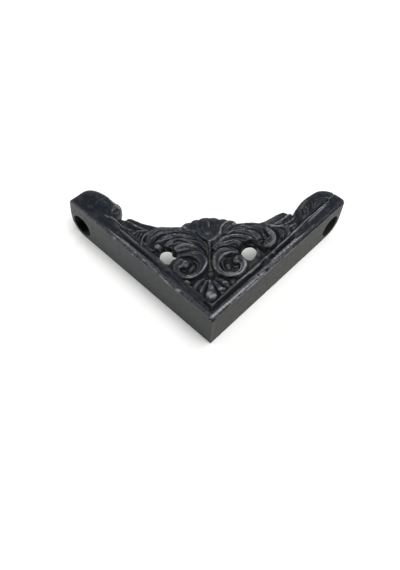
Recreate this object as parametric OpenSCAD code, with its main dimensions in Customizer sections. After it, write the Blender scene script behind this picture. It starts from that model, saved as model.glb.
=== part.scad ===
// Decorative corner bracket: one casting with a carved web between two flanges.
// The outer corner of the back is the origin, the arms run along +X and +Y,
// and the carved side faces +Z.

/* [Arms] */
// Length of each arm, from the outer corner to the end of the lug
arm_len = 92.2; // [84:0.2:100]
// Height of the flanges from the back to the top of the border
arm_h = 20; // [19:0.5:22]
// Thickness of each flange
flange_t = 6.2; // [6.1:0.1:6.6]
// Backward lean of the right arm's end above the lug, in degrees
lean_right = 3.5; // [3:0.5:8]
// Backward lean of the left arm's end above the lug, in degrees
lean_left = 7.5; // [3:0.5:8]

/* [Screw holes] */
// Diameter of the hole through each arm's end
hole_d = 11.2; // [8:0.2:11.6]
// Radius of the round lug about the hole, equal to the hole's height
lug_r = 7.6; // [7.4:0.1:8]

/* [Web] */
// Thickness of the web under the carving
web_t = 3.4; // [3.2:0.1:3.6]
// Depth of the sunk field below the border's top
sunk = 1.7; // [1.6:0.1:1.9]
// Greatest height of the carving above the sunk field
carve_h = 2; // [1.8:0.1:2.2]

/* [Border] */
// Radius of the outer bead
bead_r = 1; // [0.8:0.05:1.1]
// Radius of the hollow beside the bead
hollow_r = 0.7; // [0.5:0.05:0.7]
// Radius of the inner ridge
ridge_r = 0.6; // [0.5:0.05:0.6]
// How far the ridge stays below the bead
ridge_drop = 0.15; // [0.1:0.05:0.3]

/* [Hidden] */
IRON = [0.13, 0.14, 0.16];
eps = 0.01;
steps = 3;                      // pieces in each span of a curve
arc_steps = 7;                  // pieces in each arc of the border
half_turn = 180;
k = arm_len / 92.2;             // the carving follows the length of the arms
web_z = arm_h - sunk - web_t;   // underside of the web
lug_x = arm_len - lug_r;
seat = web_t - 0.8;             // depth at which carved pieces start in the web
cut_h = web_t + carve_h + 1;

// ---- Curves -------------------------------------------------------------
// The carving is laid out in a frame of its own: x across the bracket,
// y outwards along its diagonal, in millimetres at the standard arm length.
function unit(v) = v / norm(v);
function turn(a) = [cos(a), sin(a)];
function span(a, b, c, d, t) = 0.5 * (2 * b + (c - a) * t
    + (2 * a - 5 * b + 4 * c - d) * t * t + (3 * b - a - 3 * c + d) * t * t * t);

// A smooth curve through the points p, without its last point
function curve(p, n = steps) = let (m = len(p) - 1)
    [for (i = [0:m - 1], j = [0:n - 1])
        span(p[max(i - 1, 0)], p[i], p[i + 1], p[min(i + 2, m)], j / n)];

// The same curve with its last point
function path(p, n = steps) = concat(curve(p, n), [p[len(p) - 1]]);

// A bowed line from a to b, without its last point
function bow(a, b, rise, n) = let (d = b - a, side = [-d[1], d[0]] / norm(d))
    [for (i = [0:n - 1]) a + d * i / n + side * rise * sin(half_turn * i / n)];

// A scroll about the centre c: each stop is [angle, radius, width, height]
function scroll(c, stops, n = 3) =
    [for (s = path(stops, n)) concat(c + s[1] * turn(s[0]), [s[2], s[3]])];

function mirrored(p) = [for (q = p) concat([-q[0]], [for (i = [1:len(q) - 1]) q[i]])];
function flipped(sec) = [for (i = [len(sec) - 1:-1:0]) [-sec[i][0], sec[i][1]]];
function scaled(p) = [for (q = p) [q[0] * k, q[1] * k]];

// ---- Sections of the carved pieces: [place across, share of the height] ---
bead_sec = [for (i = [0:6]) [-cos(30 * i), 0.3 + 0.7 * sin(30 * i)]];
band_sec = [[-1, 0.5], [-0.9, 0.86], [-0.7, 1], [-0.35, 0.88], [0.2, 0.76], [0.6, 0.8], [0.86, 0.9],
    [1, 0.5]];
leaf_sec = [[-1, 0.3], [-0.62, 0.62], [-0.2, 0.66], [0.2, 0.8], [0.6, 1], [0.86, 0.94], [1, 0.4]];
rib_sec = [[-1, 0.84], [-0.6, 0.96], [0, 1], [0.6, 0.96], [1, 0.84]];

// One carved piece. Each point of its path is [x, y, width, height].
module carved(p, sec = bead_sec) {
    rows = len(p);
    cols = len(sec) + 2;
    points = [for (i = [0:rows - 1])
        let (a = p[max(i - 1, 0)], b = p[min(i + 1, rows - 1)],
             d = unit([b[0] - a[0], b[1] - a[1]]), n = [-d[1], d[0]],
             c = [p[i][0], p[i][1]], w = p[i][2] / 2)
        each concat([[each k * (c - n * w), seat]],
            [for (s = sec) [each k * (c + n * s[0] * w), web_t + carve_h * p[i][3] * s[1]]],
            [[each k * (c + n * w), seat]])];
    sides = [for (i = [0:rows - 2], j = [0:cols - 1])
        let (q = i * cols + j, r = i * cols + (j + 1) % cols)
        each [[q, r, r + cols], [q, r + cols, q + cols]]];
    polyhedron(points, concat(sides, [[for (j = [cols - 1:-1:0]) j]],
        [[for (j = [0:cols - 1]) (rows - 1) * cols + j]]));
}

// A rounded boss
module boss(c, rx, ry, h, a = 0)
    translate([c[0] * k, c[1] * k, web_t]) rotate(a)
        scale([rx * k, ry * k, h * carve_h]) sphere(1, $fn = 12);

// ---- Outline of the web -------------------------------------------------
shell_hinge = [0, 40.5];
shell_rim = [[13.3, 50.6], [9.3, 52.5], [4.9, 53], [0.4, 53.9],
             [-4.6, 52.9], [-8.4, 51.1], [-13.4, 48.5]];
shell_rise = 0.55;
right_end = [[61.4, 68], [59.6, 69.7], [57, 71], [53.8, 71.3], [50.4, 69.6],
             [44.8, 65], [41.4, 60.4], [39.4, 57]];
right_tip = [[39.4, 57], [37.4, 56.8], [34.9, 57.5], [31, 55.6], [27, 53],
             [22, 51.5], [17, 51], [13.3, 50.6]];
left_tip = [[-13.4, 48.5], [-19, 48.3], [-25, 49], [-30, 50.5], [-34.8, 53.3],
            [-38.8, 54], [-40.5, 55.6]];
left_end = [[-40.5, 55.6], [-39.9, 59.4], [-41.5, 63.4], [-49.8, 69.3], [-53.4, 71],
            [-56.2, 71], [-58.4, 69.7], [-60.2, 67.9]];
reach = 0.6;                    // how near the web comes to the outer faces
end_a = [91.5, 90.5];           // where the web ends on the right and left arm

inner_edge = concat(curve(right_end), curve(right_tip),
    [for (i = [0:len(shell_rim) - 2]) each bow(shell_rim[i], shell_rim[i + 1], -shell_rise, 4)],
    curve(left_tip), path(left_end));
// The place on an arm at the length a and the depth d behind its outer face
function on_arm(a, d, side = 1) = [side * (a - d), a + d] / sqrt(2);
outline = scaled(concat(inner_edge,
    [on_arm(end_a[1], reach, -1), [0, reach * sqrt(2)], on_arm(end_a[0], reach)]));

// ---- Piercings ----------------------------------------------------------
right_hole = [[13.8, 34.4], [15.4, 31.9], [17.3, 30.9], [19.2, 32.3], [20.8, 35.2], [21, 38.4],
              [19.2, 40.4], [16.4, 39.8], [14.6, 37.6]];
left_hole = [[-22, 33.2], [-21.2, 30.8], [-19.4, 29], [-17.4, 28.9], [-16.3, 31.2], [-14.8, 31.6],
             [-14.5, 34.2], [-16.4, 35.2], [-16.8, 37.4], [-19.4, 37.9], [-21.4, 36.4]];
module piercing(p)
    translate([0, 0, -1]) linear_extrude(web_t + 2) polygon(scaled(curve(concat(p, [p[0]]), 2)));

// ---- Centre: volutes, shell, knob and bud --------------------------------
// Each volute turns about its own centre; the angles of the left one are mirrored.
right_centre = [8.5, 28.9];
right_volute = [[52, 6.3, 1, 0.74], [76, 6.6, 2.6, 0.86], [105, 6.4, 3.7, 0.94], [140, 6.3, 3.7, 1],
    [180, 6.2, 3.4, 1], [212, 6.5, 2.9, 1], [240, 6.9, 2.3, 1], [270, 7, 2, 1], [300, 6.7, 2.1, 1],
    [330, 6.3, 2.6, 1], [355, 5.6, 3.2, 0.98], [380, 4.2, 4, 0.96], [402, 3.3, 3, 0.9]];
right_ring = [[120, 3, 0.8, 0.5], [160, 3.3, 1.1, 0.6], [200, 3.6, 1.2, 0.64], [236, 4.5, 1.1, 0.62],
    [262, 5.2, 0.9, 0.55], [285, 5.2, 0.8, 0.5]];
left_centre = [-9, 26.9];
left_volute = [[62, 6.4, 1, 0.74], [85, 6.5, 2.4, 0.86], [112, 6.6, 3.8, 0.94], [140, 6.7, 4.2, 1],
    [165, 6.3, 3.8, 1], [187, 5.9, 3.2, 1], [212, 5.6, 2.4, 1], [240, 5.7, 2, 1], [262, 6, 1.9, 1],
    [285, 6.3, 2.1, 1], [310, 6.3, 2.3, 1], [335, 6.1, 2.7, 1], [355, 5.4, 3.4, 0.98],
    [378, 3.8, 4.6, 0.96], [402, 2.6, 3.4, 0.9]];
left_ring = [[120, 3.4, 0.8, 0.5], [155, 3.7, 1, 0.6], [193, 3.8, 1.1, 0.64], [230, 4.1, 1.1, 0.62],
    [259, 4.5, 0.9, 0.55], [280, 4.6, 0.8, 0.5]];
function facing(stops, side) = side > 0 ? stops
    : [for (s = stops) [half_turn - s[0], s[1], s[2], s[3]]];

// A low round button, and the eye of a volute
module button(c, rx, ry, h)
    translate([c[0] * k, c[1] * k, web_t]) scale([rx * k, ry * k, h * carve_h])
        rotate_extrude($fn = 16) polygon([[0, -0.6], [1, -0.6], [1, 0.5], [0.86, 0.84], [0.5, 0.98],
        [0, 1]]);
module volute(c, stops, ring, side) {
    carved(scroll(c, facing(stops, side)), side > 0 ? band_sec : flipped(band_sec));
    carved(scroll(c, facing(ring, side), 2));
}

module volutes() {
    volute(right_centre, right_volute, right_ring, 1);
    button(right_centre + [2.9, 1], 1.7, 1.8, 1);
    boss(right_centre + [-0.8, -2], 1.1, 1.9, 0.62, 12);
    volute(left_centre, left_volute, left_ring, -1);
    button(left_centre + [-1.7, 0.7], 1.8, 2, 1);
    boss(left_centre + [1, -1.3], 2.5, 1.1, 0.62, 57);
}

// Narrow strands over the right ribs of the shell
shell_strands = [
    [[1.6, 41.6, 1, 0.8], [4, 44.5, 1.2, 0.96], [5.3, 49.2, 1.2, 1], [7.8, 51.3, 1, 0.8]],
    [[5.8, 45.4, 0.8, 0.76], [7.4, 48.8, 1.2, 0.98], [10.8, 51.2, 1, 0.8]],
    [[7.4, 45.4, 0.8, 0.76], [9.2, 48.2, 1.2, 0.96], [12.2, 50.2, 1, 0.8]]];
module shell() {
    for (i = [0:len(shell_rim) - 2]) {
        a = shell_rim[i];
        b = shell_rim[i + 1];
        mid = (a + b) / 2 + [0, shell_rise];
        w = norm(b - a);
        start = shell_hinge + 0.05 * (mid - shell_hinge);
        stops = [[each start, 0.9, 0.75], [each start + 0.35 * (mid - start), 0.42 * w, 0.92],
            [each start + 0.75 * (mid - start), 0.82 * w, 0.92], [each mid, w, 0.98]];
        carved(path(stops, 2), rib_sec);
    }
    for (s = shell_strands) carved(path(s, 2));
}

module stem() {
    carved(path([[0, 25, 2.2, 0.25], [-0.2, 29, 1, 0.4], [-0.2, 34, 0.9, 0.5], [0, 38, 1.4, 0.7],
        [0, 40.8, 2, 0.85]], 2));
    boss([0.1, 22.6], 1.3, 1.3, 0.8);
}

bud_leaves = [
    [[1, 19.6, 1.2, 0.4], [2.8, 17, 2, 0.6], [4, 14.6, 2.8, 0.7], [4.3, 12.9, 1.6, 0.5]],
    [[2, 20.8, 1.2, 0.4], [4.6, 19.4, 2, 0.6], [6.5, 17.8, 2.6, 0.64], [7.4, 16.2, 1.4, 0.5]],
    [[-1.6, 19.6, 1.2, 0.4], [-3, 17, 2, 0.6], [-4, 14.4, 2.2, 0.6], [-3.8, 12.6, 1.2, 0.4]],
    [[-2.6, 20.6, 1.2, 0.4], [-5, 18.8, 2, 0.6], [-6.6, 16.4, 2.2, 0.6], [-6.4, 14.6, 1.2, 0.4]]];
module bud() {
    carved(path([[-0.4, 20, 1.8, 0.45], [-0.3, 17.4, 2.6, 0.7], [0, 14.4, 3.8, 0.85], [0, 12, 5, 1],
        [-0.2, 10, 4, 0.95], [-0.3, 8.8, 1.8, 0.6]], 2));
    for (s = bud_leaves) carved(path(s, 2));
    boss([-9.8, 18.4], 1.6, 1.2, 0.6, -40);
    boss([9.2, 19], 1.6, 1.1, 0.5, 40);
}

// ---- Fronds that sweep from the shell over the piercings -----------------
right_fronds = [
    [[2.2, 35.6, 1, 0.72], [4.6, 38.4, 1.8, 0.81], [8, 39.5, 2.6, 0.83], [11.4, 39.6, 2.8, 0.83],
     [13.6, 38.8, 2, 0.78],
     [14.4, 37.7, 1, 0.61]],
    [[1.4, 36.6, 1, 0.78], [3.6, 40.4, 1.8, 0.83], [7, 42.3, 2.2, 0.86], [11, 42.9, 2.6, 0.89],
     [15, 42.2, 3.2, 0.89],
     [18, 40.9, 3.2, 0.86], [19.9, 39.2, 1.6, 0.7]],
    [[1.4, 39.4, 1, 0.72], [4, 42.8, 1.8, 0.81], [8, 45, 2.4, 0.81], [12, 45.7, 3.2, 0.81],
     [17, 45.4, 4, 0.81],
     [20.8, 43.8, 4.2, 0.78], [23, 40.8, 2.2, 0.61]],
    [[3, 42.4, 1, 0.72], [6, 46, 2, 0.84], [10, 48.4, 2.8, 0.92], [15, 49.4, 3.4, 0.98], [20, 49.4, 4, 1],
     [24, 47.6, 5.2, 1], [26.8, 44.4, 5.8, 1], [27, 41, 5.6, 1], [25.6, 38.6, 4.4, 0.94],
     [24, 37.6, 2, 0.7]]];
left_fronds = [
    [[2.6, 33.6, 1, 0.72], [5.4, 36.4, 2.4, 0.81], [9, 37.4, 3.4, 0.86], [12.6, 37, 4, 0.89],
     [15, 35.6, 3, 0.83],
     [15.8, 34.4, 1.2, 0.61]],
    [[1.6, 35.6, 1, 0.78], [4.4, 39, 1.8, 0.81], [8.6, 40.4, 2, 0.81], [13, 40.7, 2.2, 0.83],
     [16.8, 39.9, 2.4, 0.83],
     [19, 38, 2, 0.78], [19.6, 36.2, 1, 0.61]],
    [[1.8, 38.4, 1, 0.72], [5, 42, 1.8, 0.78], [9.4, 43.2, 2.2, 0.78], [14, 43.6, 2.4, 0.81],
     [18.4, 43, 2.8, 0.81],
     [21.4, 41.2, 2, 0.72], [22.4, 39.6, 1, 0.61]],
    [[3.8, 42.2, 1, 0.72], [7.4, 45.3, 2.2, 0.84], [12, 46.9, 3, 0.92], [17.4, 47, 3.6, 0.98],
     [22, 46.4, 4.4, 1],
     [25.6, 44.2, 5, 1], [27.6, 40.8, 4.6, 1], [26.9, 37.6, 3.4, 0.94], [25, 36, 2.4, 0.85],
     [23.4, 36.6, 1.6, 0.78]]];

module fronds() {
    for (f = right_fronds) carved(path(f), leaf_sec);
    for (f = left_fronds) carved(mirrored(path(f)), flipped(leaf_sec));
    boss([-23.8, 37.3], 2.3, 2.1, 1);
}

// ---- Sprays along the arms ------------------------------------------------
right_sprays = [
    [[22, 49.9, 1.8, 0.84], [26.4, 50.9, 3, 0.95], [30.2, 52.9, 4.6, 1], [33.4, 55, 5.4, 1],
     [36.4, 57.2, 4, 0.88]],
    [[27.6, 49.2, 1, 0.6], [32.6, 51, 3, 0.84], [36.4, 53.4, 4, 0.88], [38.8, 56.4, 3, 0.8]],
    [[29.6, 48, 1, 0.6], [35, 49.4, 3, 0.84], [38.8, 51.6, 3.6, 0.8], [40.6, 54.6, 2.6, 0.7]],
    [[30.2, 48, 1.4, 0.6], [32.4, 46, 3, 0.8], [32.6, 43, 1.6, 0.5]],
    [[33.2, 47.8, 1.2, 0.56], [35.4, 46.6, 2.8, 0.76], [35.8, 44.6, 1.4, 0.44]],
    [[36.6, 48.6, 1.2, 0.5], [38.6, 48.4, 2.4, 0.7], [39.8, 47.4, 1.2, 0.4]]];
left_sprays = [
    [[21, 47.2, 1.8, 0.84], [25.6, 47.8, 2.8, 0.95], [29.6, 49.4, 4, 1], [33.2, 51.4, 4.8, 1],
     [37, 53.4, 3.6, 0.88]],
    [[27.2, 46.2, 1, 0.6], [31.6, 47.2, 2.8, 0.84], [35.4, 49.4, 3.6, 0.84], [38.6, 52.2, 2.6, 0.6]],
    [[29.6, 46, 1, 0.56], [30.4, 42, 1.8, 0.74], [29.8, 38.2, 1.1, 0.56]],
    [[30.8, 45.8, 1, 0.56], [32.4, 42.6, 2, 0.74], [32.4, 39.8, 1.2, 0.5]],
    [[31.8, 46, 1, 0.56], [34.4, 44.4, 2.2, 0.7], [35.2, 42.2, 1.3, 0.44]],
    [[32.6, 46.2, 1, 0.5], [36.6, 46.6, 2.6, 0.76], [39.8, 48.6, 3, 0.76], [41.4, 51.6, 1.6, 0.5]]];
// Flutes that fan out over the right arm's end
right_flutes = [
    [[40.6, 53.4, 1.4, 0.6], [40.6, 56.4, 2.8, 0.86], [41.8, 60, 3.4, 0.96], [45, 64, 3.4, 0.96],
     [49.4, 67.4, 2.6, 0.86]],
    [[42.6, 54.4, 1.4, 0.6], [43.6, 58, 2.6, 0.9], [45.8, 61.6, 3.2, 1], [49, 65, 3.2, 0.98],
     [53, 68, 2.4, 0.88]],
    [[44.8, 56.4, 1.4, 0.6], [46.6, 59.4, 2.2, 0.9], [49.2, 62.6, 2.6, 0.98], [52.6, 65.6, 2.8, 0.96],
     [56.8, 68.4, 2.2, 0.86]]];
// Smooth lobes on the left arm's end, which curl in at its foot
left_lobes = [
    [[57.6, 67.4, 3, 0.8], [53.4, 66.8, 5.6, 0.96], [49.6, 64.2, 6.4, 1], [46.8, 61.4, 5.2, 0.96],
     [45.6, 59.4, 3, 0.8]],
    [[46.4, 56, 2, 0.6], [44.6, 53.8, 3.6, 0.8], [42, 51.4, 3.4, 0.7], [40, 49.2, 1.6, 0.5]]];
left_curl = [-42.9, 58.6];
// Along the arm, depth behind the outer face, width and height
past = 92.4;                    // beyond the web's end, where the outline cuts them off
end_ground = [[67, 9, 3, 0.3], [70, 9.4, 5.5, 0.66], [74, 10.2, 8, 0.86], [80, 10.3, 8.6, 0.94],
    [past, 10.3, 8.6, 0.96]];
// Along the arm and height, over the hollow and the ridge
border_fill = [[54, 0.2], [61, 0.7], [70, 0.86], [past, 0.94]];
fill_d = 3.9;
fill_w = 5.2;
ground_shift = 0.2;             // how much narrower the right ground is than the left
flat_sec = [[-1, 0.7], [-0.86, 0.94], [0, 1], [0.86, 0.94], [1, 0.7]];

module sprays() {
    for (s = right_sprays) carved(path(s, 2), leaf_sec);
    for (s = left_sprays) carved(mirrored(path(s, 2)), flipped(leaf_sec));
    for (s = right_flutes) carved(path(s, 2), leaf_sec);
    for (s = left_lobes) carved(mirrored(path(s, 2)), bead_sec);
    carved(scroll(left_curl, [[190, 2.7, 1, 0.7], [250, 2.4, 1.4, 0.9], [330, 2.3, 1.6, 1],
    [410, 2.2, 1.6, 1],
        [490, 2, 1.4, 1], [560, 1.4, 1, 0.9]], 2));
    boss(left_curl, 1, 1, 0.96);
}

// The raised ground of the arms' ends, which also fills the hollow of the border
module arm_ends() {
    for (side = [-1, 1]) {
        ground = [for (g = end_ground)
            [each on_arm(g[0], g[1] + ground_shift * side, side), g[2] - 2 * ground_shift * side, g[3]]];
        fill = [for (g = border_fill) [each on_arm(g[0], fill_d, side), fill_w, g[1]]];
        carved(ground, flat_sec);
        carved(fill, flat_sec);
    }
}

// ---- The web with its carving, its underside at z = 0 ---------------------
module web() {
    resize([0, 0, web_t + carve_h])
        intersection() {
            union() {
                difference() {
                    linear_extrude(web_t) polygon(outline);
                    piercing(right_hole);
                    piercing(left_hole);
                }
                volutes();
                shell();
                stem();
                bud();
                fronds();
                sprays();
                arm_ends();
            }
            linear_extrude(cut_h) polygon(outline);
        }
}

// ---- Flanges with the border moulding -------------------------------------
function arc(c, r, a, b, n = arc_steps) = [for (i = [0:n]) c + r * turn(a + (b - a) * i / n)];

bead_c = [bead_r, arm_h - bead_r];
hollow_c = [3.6, arm_h - 0.75];
ridge_c = [4.9, arm_h - ridge_drop - ridge_r];
section = concat([[0, 0]], arc(bead_c, bead_r, 180, 40),
    [[hollow_c[0] - 1.3, arm_h - 0.62], [hollow_c[0] - hollow_r, arm_h - 0.8]],
    arc(hollow_c, hollow_r, 190, 350), arc(ridge_c, ridge_r, 170, 10),
    [[flange_t, web_z + web_t - eps], [flange_t, 0]]);

module flange(lean_deg) {
    tip = [lug_x, lug_r] + lug_r * turn(lean_deg);      // where the lug runs into the leaning end
    top = arm_h + 1;
    difference() {
        intersection() {
            rotate([90, 0, 90]) linear_extrude(arm_len + 1) polygon(section);
            linear_extrude(top) polygon([[0, 0], [arm_len + 2, 0], [arm_len + 2, arm_len + 2]]);
            union() {
                rotate([90, 0, 0]) translate([0, 0, -flange_t - 1]) linear_extrude(flange_t + 2)
                    polygon([[-1, 0], [lug_x, 0], [lug_x, lug_r], tip,
                        [tip[0] - (top - tip[1]) * tan(lean_deg), top], [-1, top]]);
                translate([lug_x, -1, lug_r]) rotate([-90, 0, 0])
                    cylinder(r = lug_r, h = flange_t + 2, $fn = 64);
            }
        }
        translate([lug_x, -1, lug_r]) rotate([-90, 0, 0])
            cylinder(d = hole_d, h = flange_t + 2, $fn = 64);
    }
}

module bracket() {
    color(IRON) union() {
        flange(lean_right);
        mirror([1, -1, 0]) flange(lean_left);
        translate([0, 0, web_z]) rotate(-45) web();
    }
}

bracket();
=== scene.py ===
"""Decorative corner bracket: one iron casting with a carved web, on a pale table.

Units are metres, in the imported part's frame: the outer corner of the back is
the origin, the arms run along +X and +Y, and the carved side faces +Z.
The carving is described in millimetres in a frame of its own, the layout:
`across` runs over the bracket from the left arm to the right one, and
`outward` runs from the outer corner along the diagonal.
"""

import logging
import math
from dataclasses import dataclass
from enum import Enum
from functools import partialmethod

import bpy
import numpy as np
from mathutils import Matrix, Vector, noise

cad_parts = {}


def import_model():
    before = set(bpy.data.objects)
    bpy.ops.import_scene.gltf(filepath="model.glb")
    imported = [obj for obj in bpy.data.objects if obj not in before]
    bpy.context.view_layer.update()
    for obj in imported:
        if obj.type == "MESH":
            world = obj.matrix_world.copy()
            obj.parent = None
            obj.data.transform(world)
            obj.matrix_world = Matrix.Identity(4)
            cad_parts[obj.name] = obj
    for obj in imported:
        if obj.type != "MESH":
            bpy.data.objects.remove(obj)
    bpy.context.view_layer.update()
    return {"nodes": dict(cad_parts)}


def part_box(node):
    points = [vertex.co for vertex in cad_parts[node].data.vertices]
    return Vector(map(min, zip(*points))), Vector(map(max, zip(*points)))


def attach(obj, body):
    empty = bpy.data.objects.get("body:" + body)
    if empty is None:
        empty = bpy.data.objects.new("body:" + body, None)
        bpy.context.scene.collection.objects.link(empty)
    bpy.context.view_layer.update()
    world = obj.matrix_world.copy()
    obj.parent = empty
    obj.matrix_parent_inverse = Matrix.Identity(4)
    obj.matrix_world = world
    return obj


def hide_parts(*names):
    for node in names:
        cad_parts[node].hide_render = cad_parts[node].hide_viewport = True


log = logging.getLogger("bracket")
MM = 0.001
NODE = "bracket"
BODY = "root"
SEED_SHIFT = Vector((3.1, 7.7, 1.3))
NO_LENGTH = 1e-12
WELD = 1e-6
FACES_DOWN = -0.2  # a surface whose normal has less of +Z than this faces down
BOW = 3.0  # room around the points of a line for its bends, in millimetres

Point = tuple[float, float]
Colour = tuple[float, float, float]


def layout(mm: np.ndarray) -> np.ndarray:
    """Returns the places (across, outward) of points given in millimetres."""
    return np.stack([mm[:, 0] - mm[:, 1], mm[:, 0] + mm[:, 1]], 1) / math.sqrt(2)


def ramp(values: np.ndarray, low: float, high: float) -> np.ndarray:
    """Rises evenly from 0 at low to 1 at high."""
    return np.clip((values - low) / (high - low), 0, 1)


class Tool(Enum):
    """What one pass of a carving tool does to the top of the casting."""

    RIDGE = "adds a rounded ridge"
    GROOVE = "cuts a rounded groove"
    FILL = "fills what lies below a level"
    LEVEL = "draws the surface to a level"
    # A polishing pass lightens the skin where hands wore it, and also paints highlights where the light
    # catches the carving.
    POLISH = "rubs the skin bright"
    DIRT = "leaves olive dirt"
    # A blackening pass paints shade into the deepest lines and pits, with some black grime.
    SOOT = "leaves the line black"


MARKING = (Tool.POLISH, Tool.DIRT, Tool.SOOT)


@dataclass(frozen=True)
class Stroke:
    """One pass over the carving, along a smooth line in the layout, in millimetres.

    Attributes:
        tool: What the pass does.
        line: Points (across, outward) of the line.
        width: Full width of the pass.
        amount: Height of a ridge, depth of a groove, or the level above the back;
            for a pass that only marks the skin, how strongly, from 0 to 1.
        fade: Share of the line over which the pass fades in and out at each end.
    """

    tool: Tool
    line: tuple[Point, ...]
    width: float
    amount: float
    fade: float

    def samples(self, steps: int = 6) -> np.ndarray:
        """Returns the smooth line as an array of points, with the ends included.

        Args:
            steps: Pieces in each span between two points.

        Returns:
            An array of shape (count, 2).
        """
        p = np.array(self.line, float)
        q = np.vstack([2 * p[0] - p[1], p, 2 * p[-1] - p[-2]])
        t = np.linspace(0, 1, steps, endpoint=False)[:, None]
        spans = []
        for a, b, c, d in zip(q[:-3], q[1:-2], q[2:-1], q[3:]):
            bend = (2 * a - 5 * b + 4 * c - d) * t**2 + (3 * b - a - 3 * c + d) * t**3
            spans.append((2 * b + (c - a) * t + bend) / 2)
        return np.vstack(spans + [p[-1:]])

    def weights(self, uv: np.ndarray) -> np.ndarray:
        """Returns how strongly the pass acts on each point of the layout.

        Args:
            uv: Points (across, outward), in millimetres.

        Returns:
            The share, from 0 to 1.
        """
        line = self.samples()
        a, b = line[:-1], line[1:]
        d = b - a
        size = np.maximum((d**2).sum(1), NO_LENGTH)
        t = np.clip(((uv[:, None, :] - a) * d).sum(2) / size, 0, 1)
        gap = np.linalg.norm(uv[:, None, :] - (a + d * t[:, :, None]), axis=2)
        best = gap.argmin(1)
        rows = np.arange(len(uv))
        near = gap[rows, best]
        along = (best + t[rows, best]) / len(d)
        share = np.clip(1 - (near / (self.width / 2)) ** 2, 0, 1) ** 2
        if self.fade > 0:
            share = share * np.clip(along / self.fade, 0, 1) * np.clip((1 - along) / self.fade, 0, 1)
        return share

    def apply(self, uv: np.ndarray, z: np.ndarray, hold: np.ndarray) -> None:
        """Moves the heights z under the pass, in place, or raises z where the pass only marks the skin.

        Args:
            uv: Points (across, outward) of the vertices, in millimetres.
            z: Their heights, in millimetres, or the strength of their marks.
            hold: How free each vertex is to move, from 0 to 1.
        """
        line = np.array(self.line, float)
        reach = self.width / 2 + BOW
        low, high = line.min(0) - reach, line.max(0) + reach
        near = np.nonzero((uv > low).all(1) & (uv < high).all(1) & (hold > 0))[0]
        if not len(near):
            return
        share = self.weights(uv[near]) * hold[near]
        if self.tool in MARKING:
            z[near] = np.maximum(z[near], self.amount * np.sqrt(share))
        elif self.tool is Tool.RIDGE:
            z[near] += self.amount * share
        elif self.tool is Tool.GROOVE:
            z[near] -= self.amount * share
        elif self.tool is Tool.FILL:
            z[near] += np.maximum(self.amount - z[near], 0) * share
        else:
            z[near] += (self.amount - z[near]) * share


Passes = tuple[Stroke, ...]


# ---- Shader maths ----------------------------------------------------------


class Value:
    """A shader socket that can be used in a Python expression."""

    def __init__(self, tree: "Nodes", socket: bpy.types.NodeSocket) -> None:
        """Keeps the socket and the tree it belongs to."""
        self.tree, self.socket = tree, socket

    def _math(self, operation: str, other: "Value | float") -> "Value":
        """Adds one Math node on this value and the other."""
        return self.tree.add("ShaderNodeMath", {"operation": operation}, [self, other])

    def __add__(self, other: "Value | float") -> "Value":
        """Adds."""
        return self._math("ADD", other)

    __radd__ = __add__

    def __sub__(self, other: "Value | float") -> "Value":
        """Subtracts."""
        return self._math("SUBTRACT", other)

    def __mul__(self, other: "Value | float") -> "Value":
        """Multiplies."""
        return self._math("MULTIPLY", other)

    __rmul__ = __mul__

    def clamped(self) -> "Value":
        """Limits the value to 0 to 1."""
        return self.tree.add("ShaderNodeClamp", {}, {"Value": self})

    def step(self, low: float, high: float) -> "Value":
        """Rises smoothly from 0 at low to 1 at high."""
        return self.tree.add("ShaderNodeMapRange", {"interpolation_type": "SMOOTHSTEP"},
                             {"Value": self, "From Min": low, "From Max": high})


Inputs = dict | list | None
# Sockets of the Mix node that mixes colours, by their place.
MIX_SHARE, MIX_FIRST, MIX_SECOND, MIX_RESULT = 0, 6, 7, 2


class Nodes:
    """A material's node tree, with one method that adds any node."""

    def __init__(self, name: str) -> None:
        """Makes an empty material called name."""
        self.material = bpy.data.materials.new(name)
        self.material.use_nodes = True
        self.tree = self.material.node_tree
        self.tree.nodes.clear()

    def node(self, kind: str, settings: dict, inputs: Inputs = None) -> bpy.types.Node:
        """Adds a node.

        Args:
            kind: The node's type.
            settings: Its own settings, which are set first.
            inputs: Values or links for its sockets, by name or in order.

        Returns:
            The node.
        """
        made = self.tree.nodes.new(kind)
        for name, value in settings.items():
            setattr(made, name, value)
        pairs = enumerate(inputs) if isinstance(inputs, list) else (inputs or {}).items()
        for key, value in pairs:
            if isinstance(value, Value):
                self.tree.links.new(value.socket, made.inputs[key])
            else:
                made.inputs[key].default_value = value
        return made

    def add(self, kind: str, settings: dict, inputs: Inputs = None, out: str | int = 0) -> Value:
        """Adds a node and returns one of its outputs, the first if out isn't given."""
        return Value(self, self.node(kind, settings, inputs).outputs[out])

    def blend(self, share: Value, a: Value | Colour, b: Value | Colour) -> Value:
        """Mixes two colours.

        Args:
            share: How much of b, from 0 to 1.
            a: The first colour.
            b: The second colour.

        Returns:
            The mixed colour.
        """
        pad = [c if isinstance(c, Value) else (*c, 1.0) for c in (a, b)]
        return self.add("ShaderNodeMix", {"data_type": "RGBA"},
                        {MIX_SHARE: share, MIX_FIRST: pad[0], MIX_SECOND: pad[1]}, MIX_RESULT)

    def noise(self, place: Value, scale: float, detail: float = 3.0, rough: float = 0.55) -> Value:
        """Adds a noise pattern of about scale grains a metre and returns its value."""
        return self.add("ShaderNodeTexNoise", {}, {
            "Vector": place, "Scale": scale, "Detail": detail, "Roughness": rough}, "Fac")

    def surface(self, shader: bpy.types.Node) -> None:
        """Links a shader to the material's output."""
        end = self.tree.nodes.new("ShaderNodeOutputMaterial")
        self.tree.links.new(shader.outputs[0], end.inputs["Surface"])


# ---- Finishes ---------------------------------------------------------------


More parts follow.
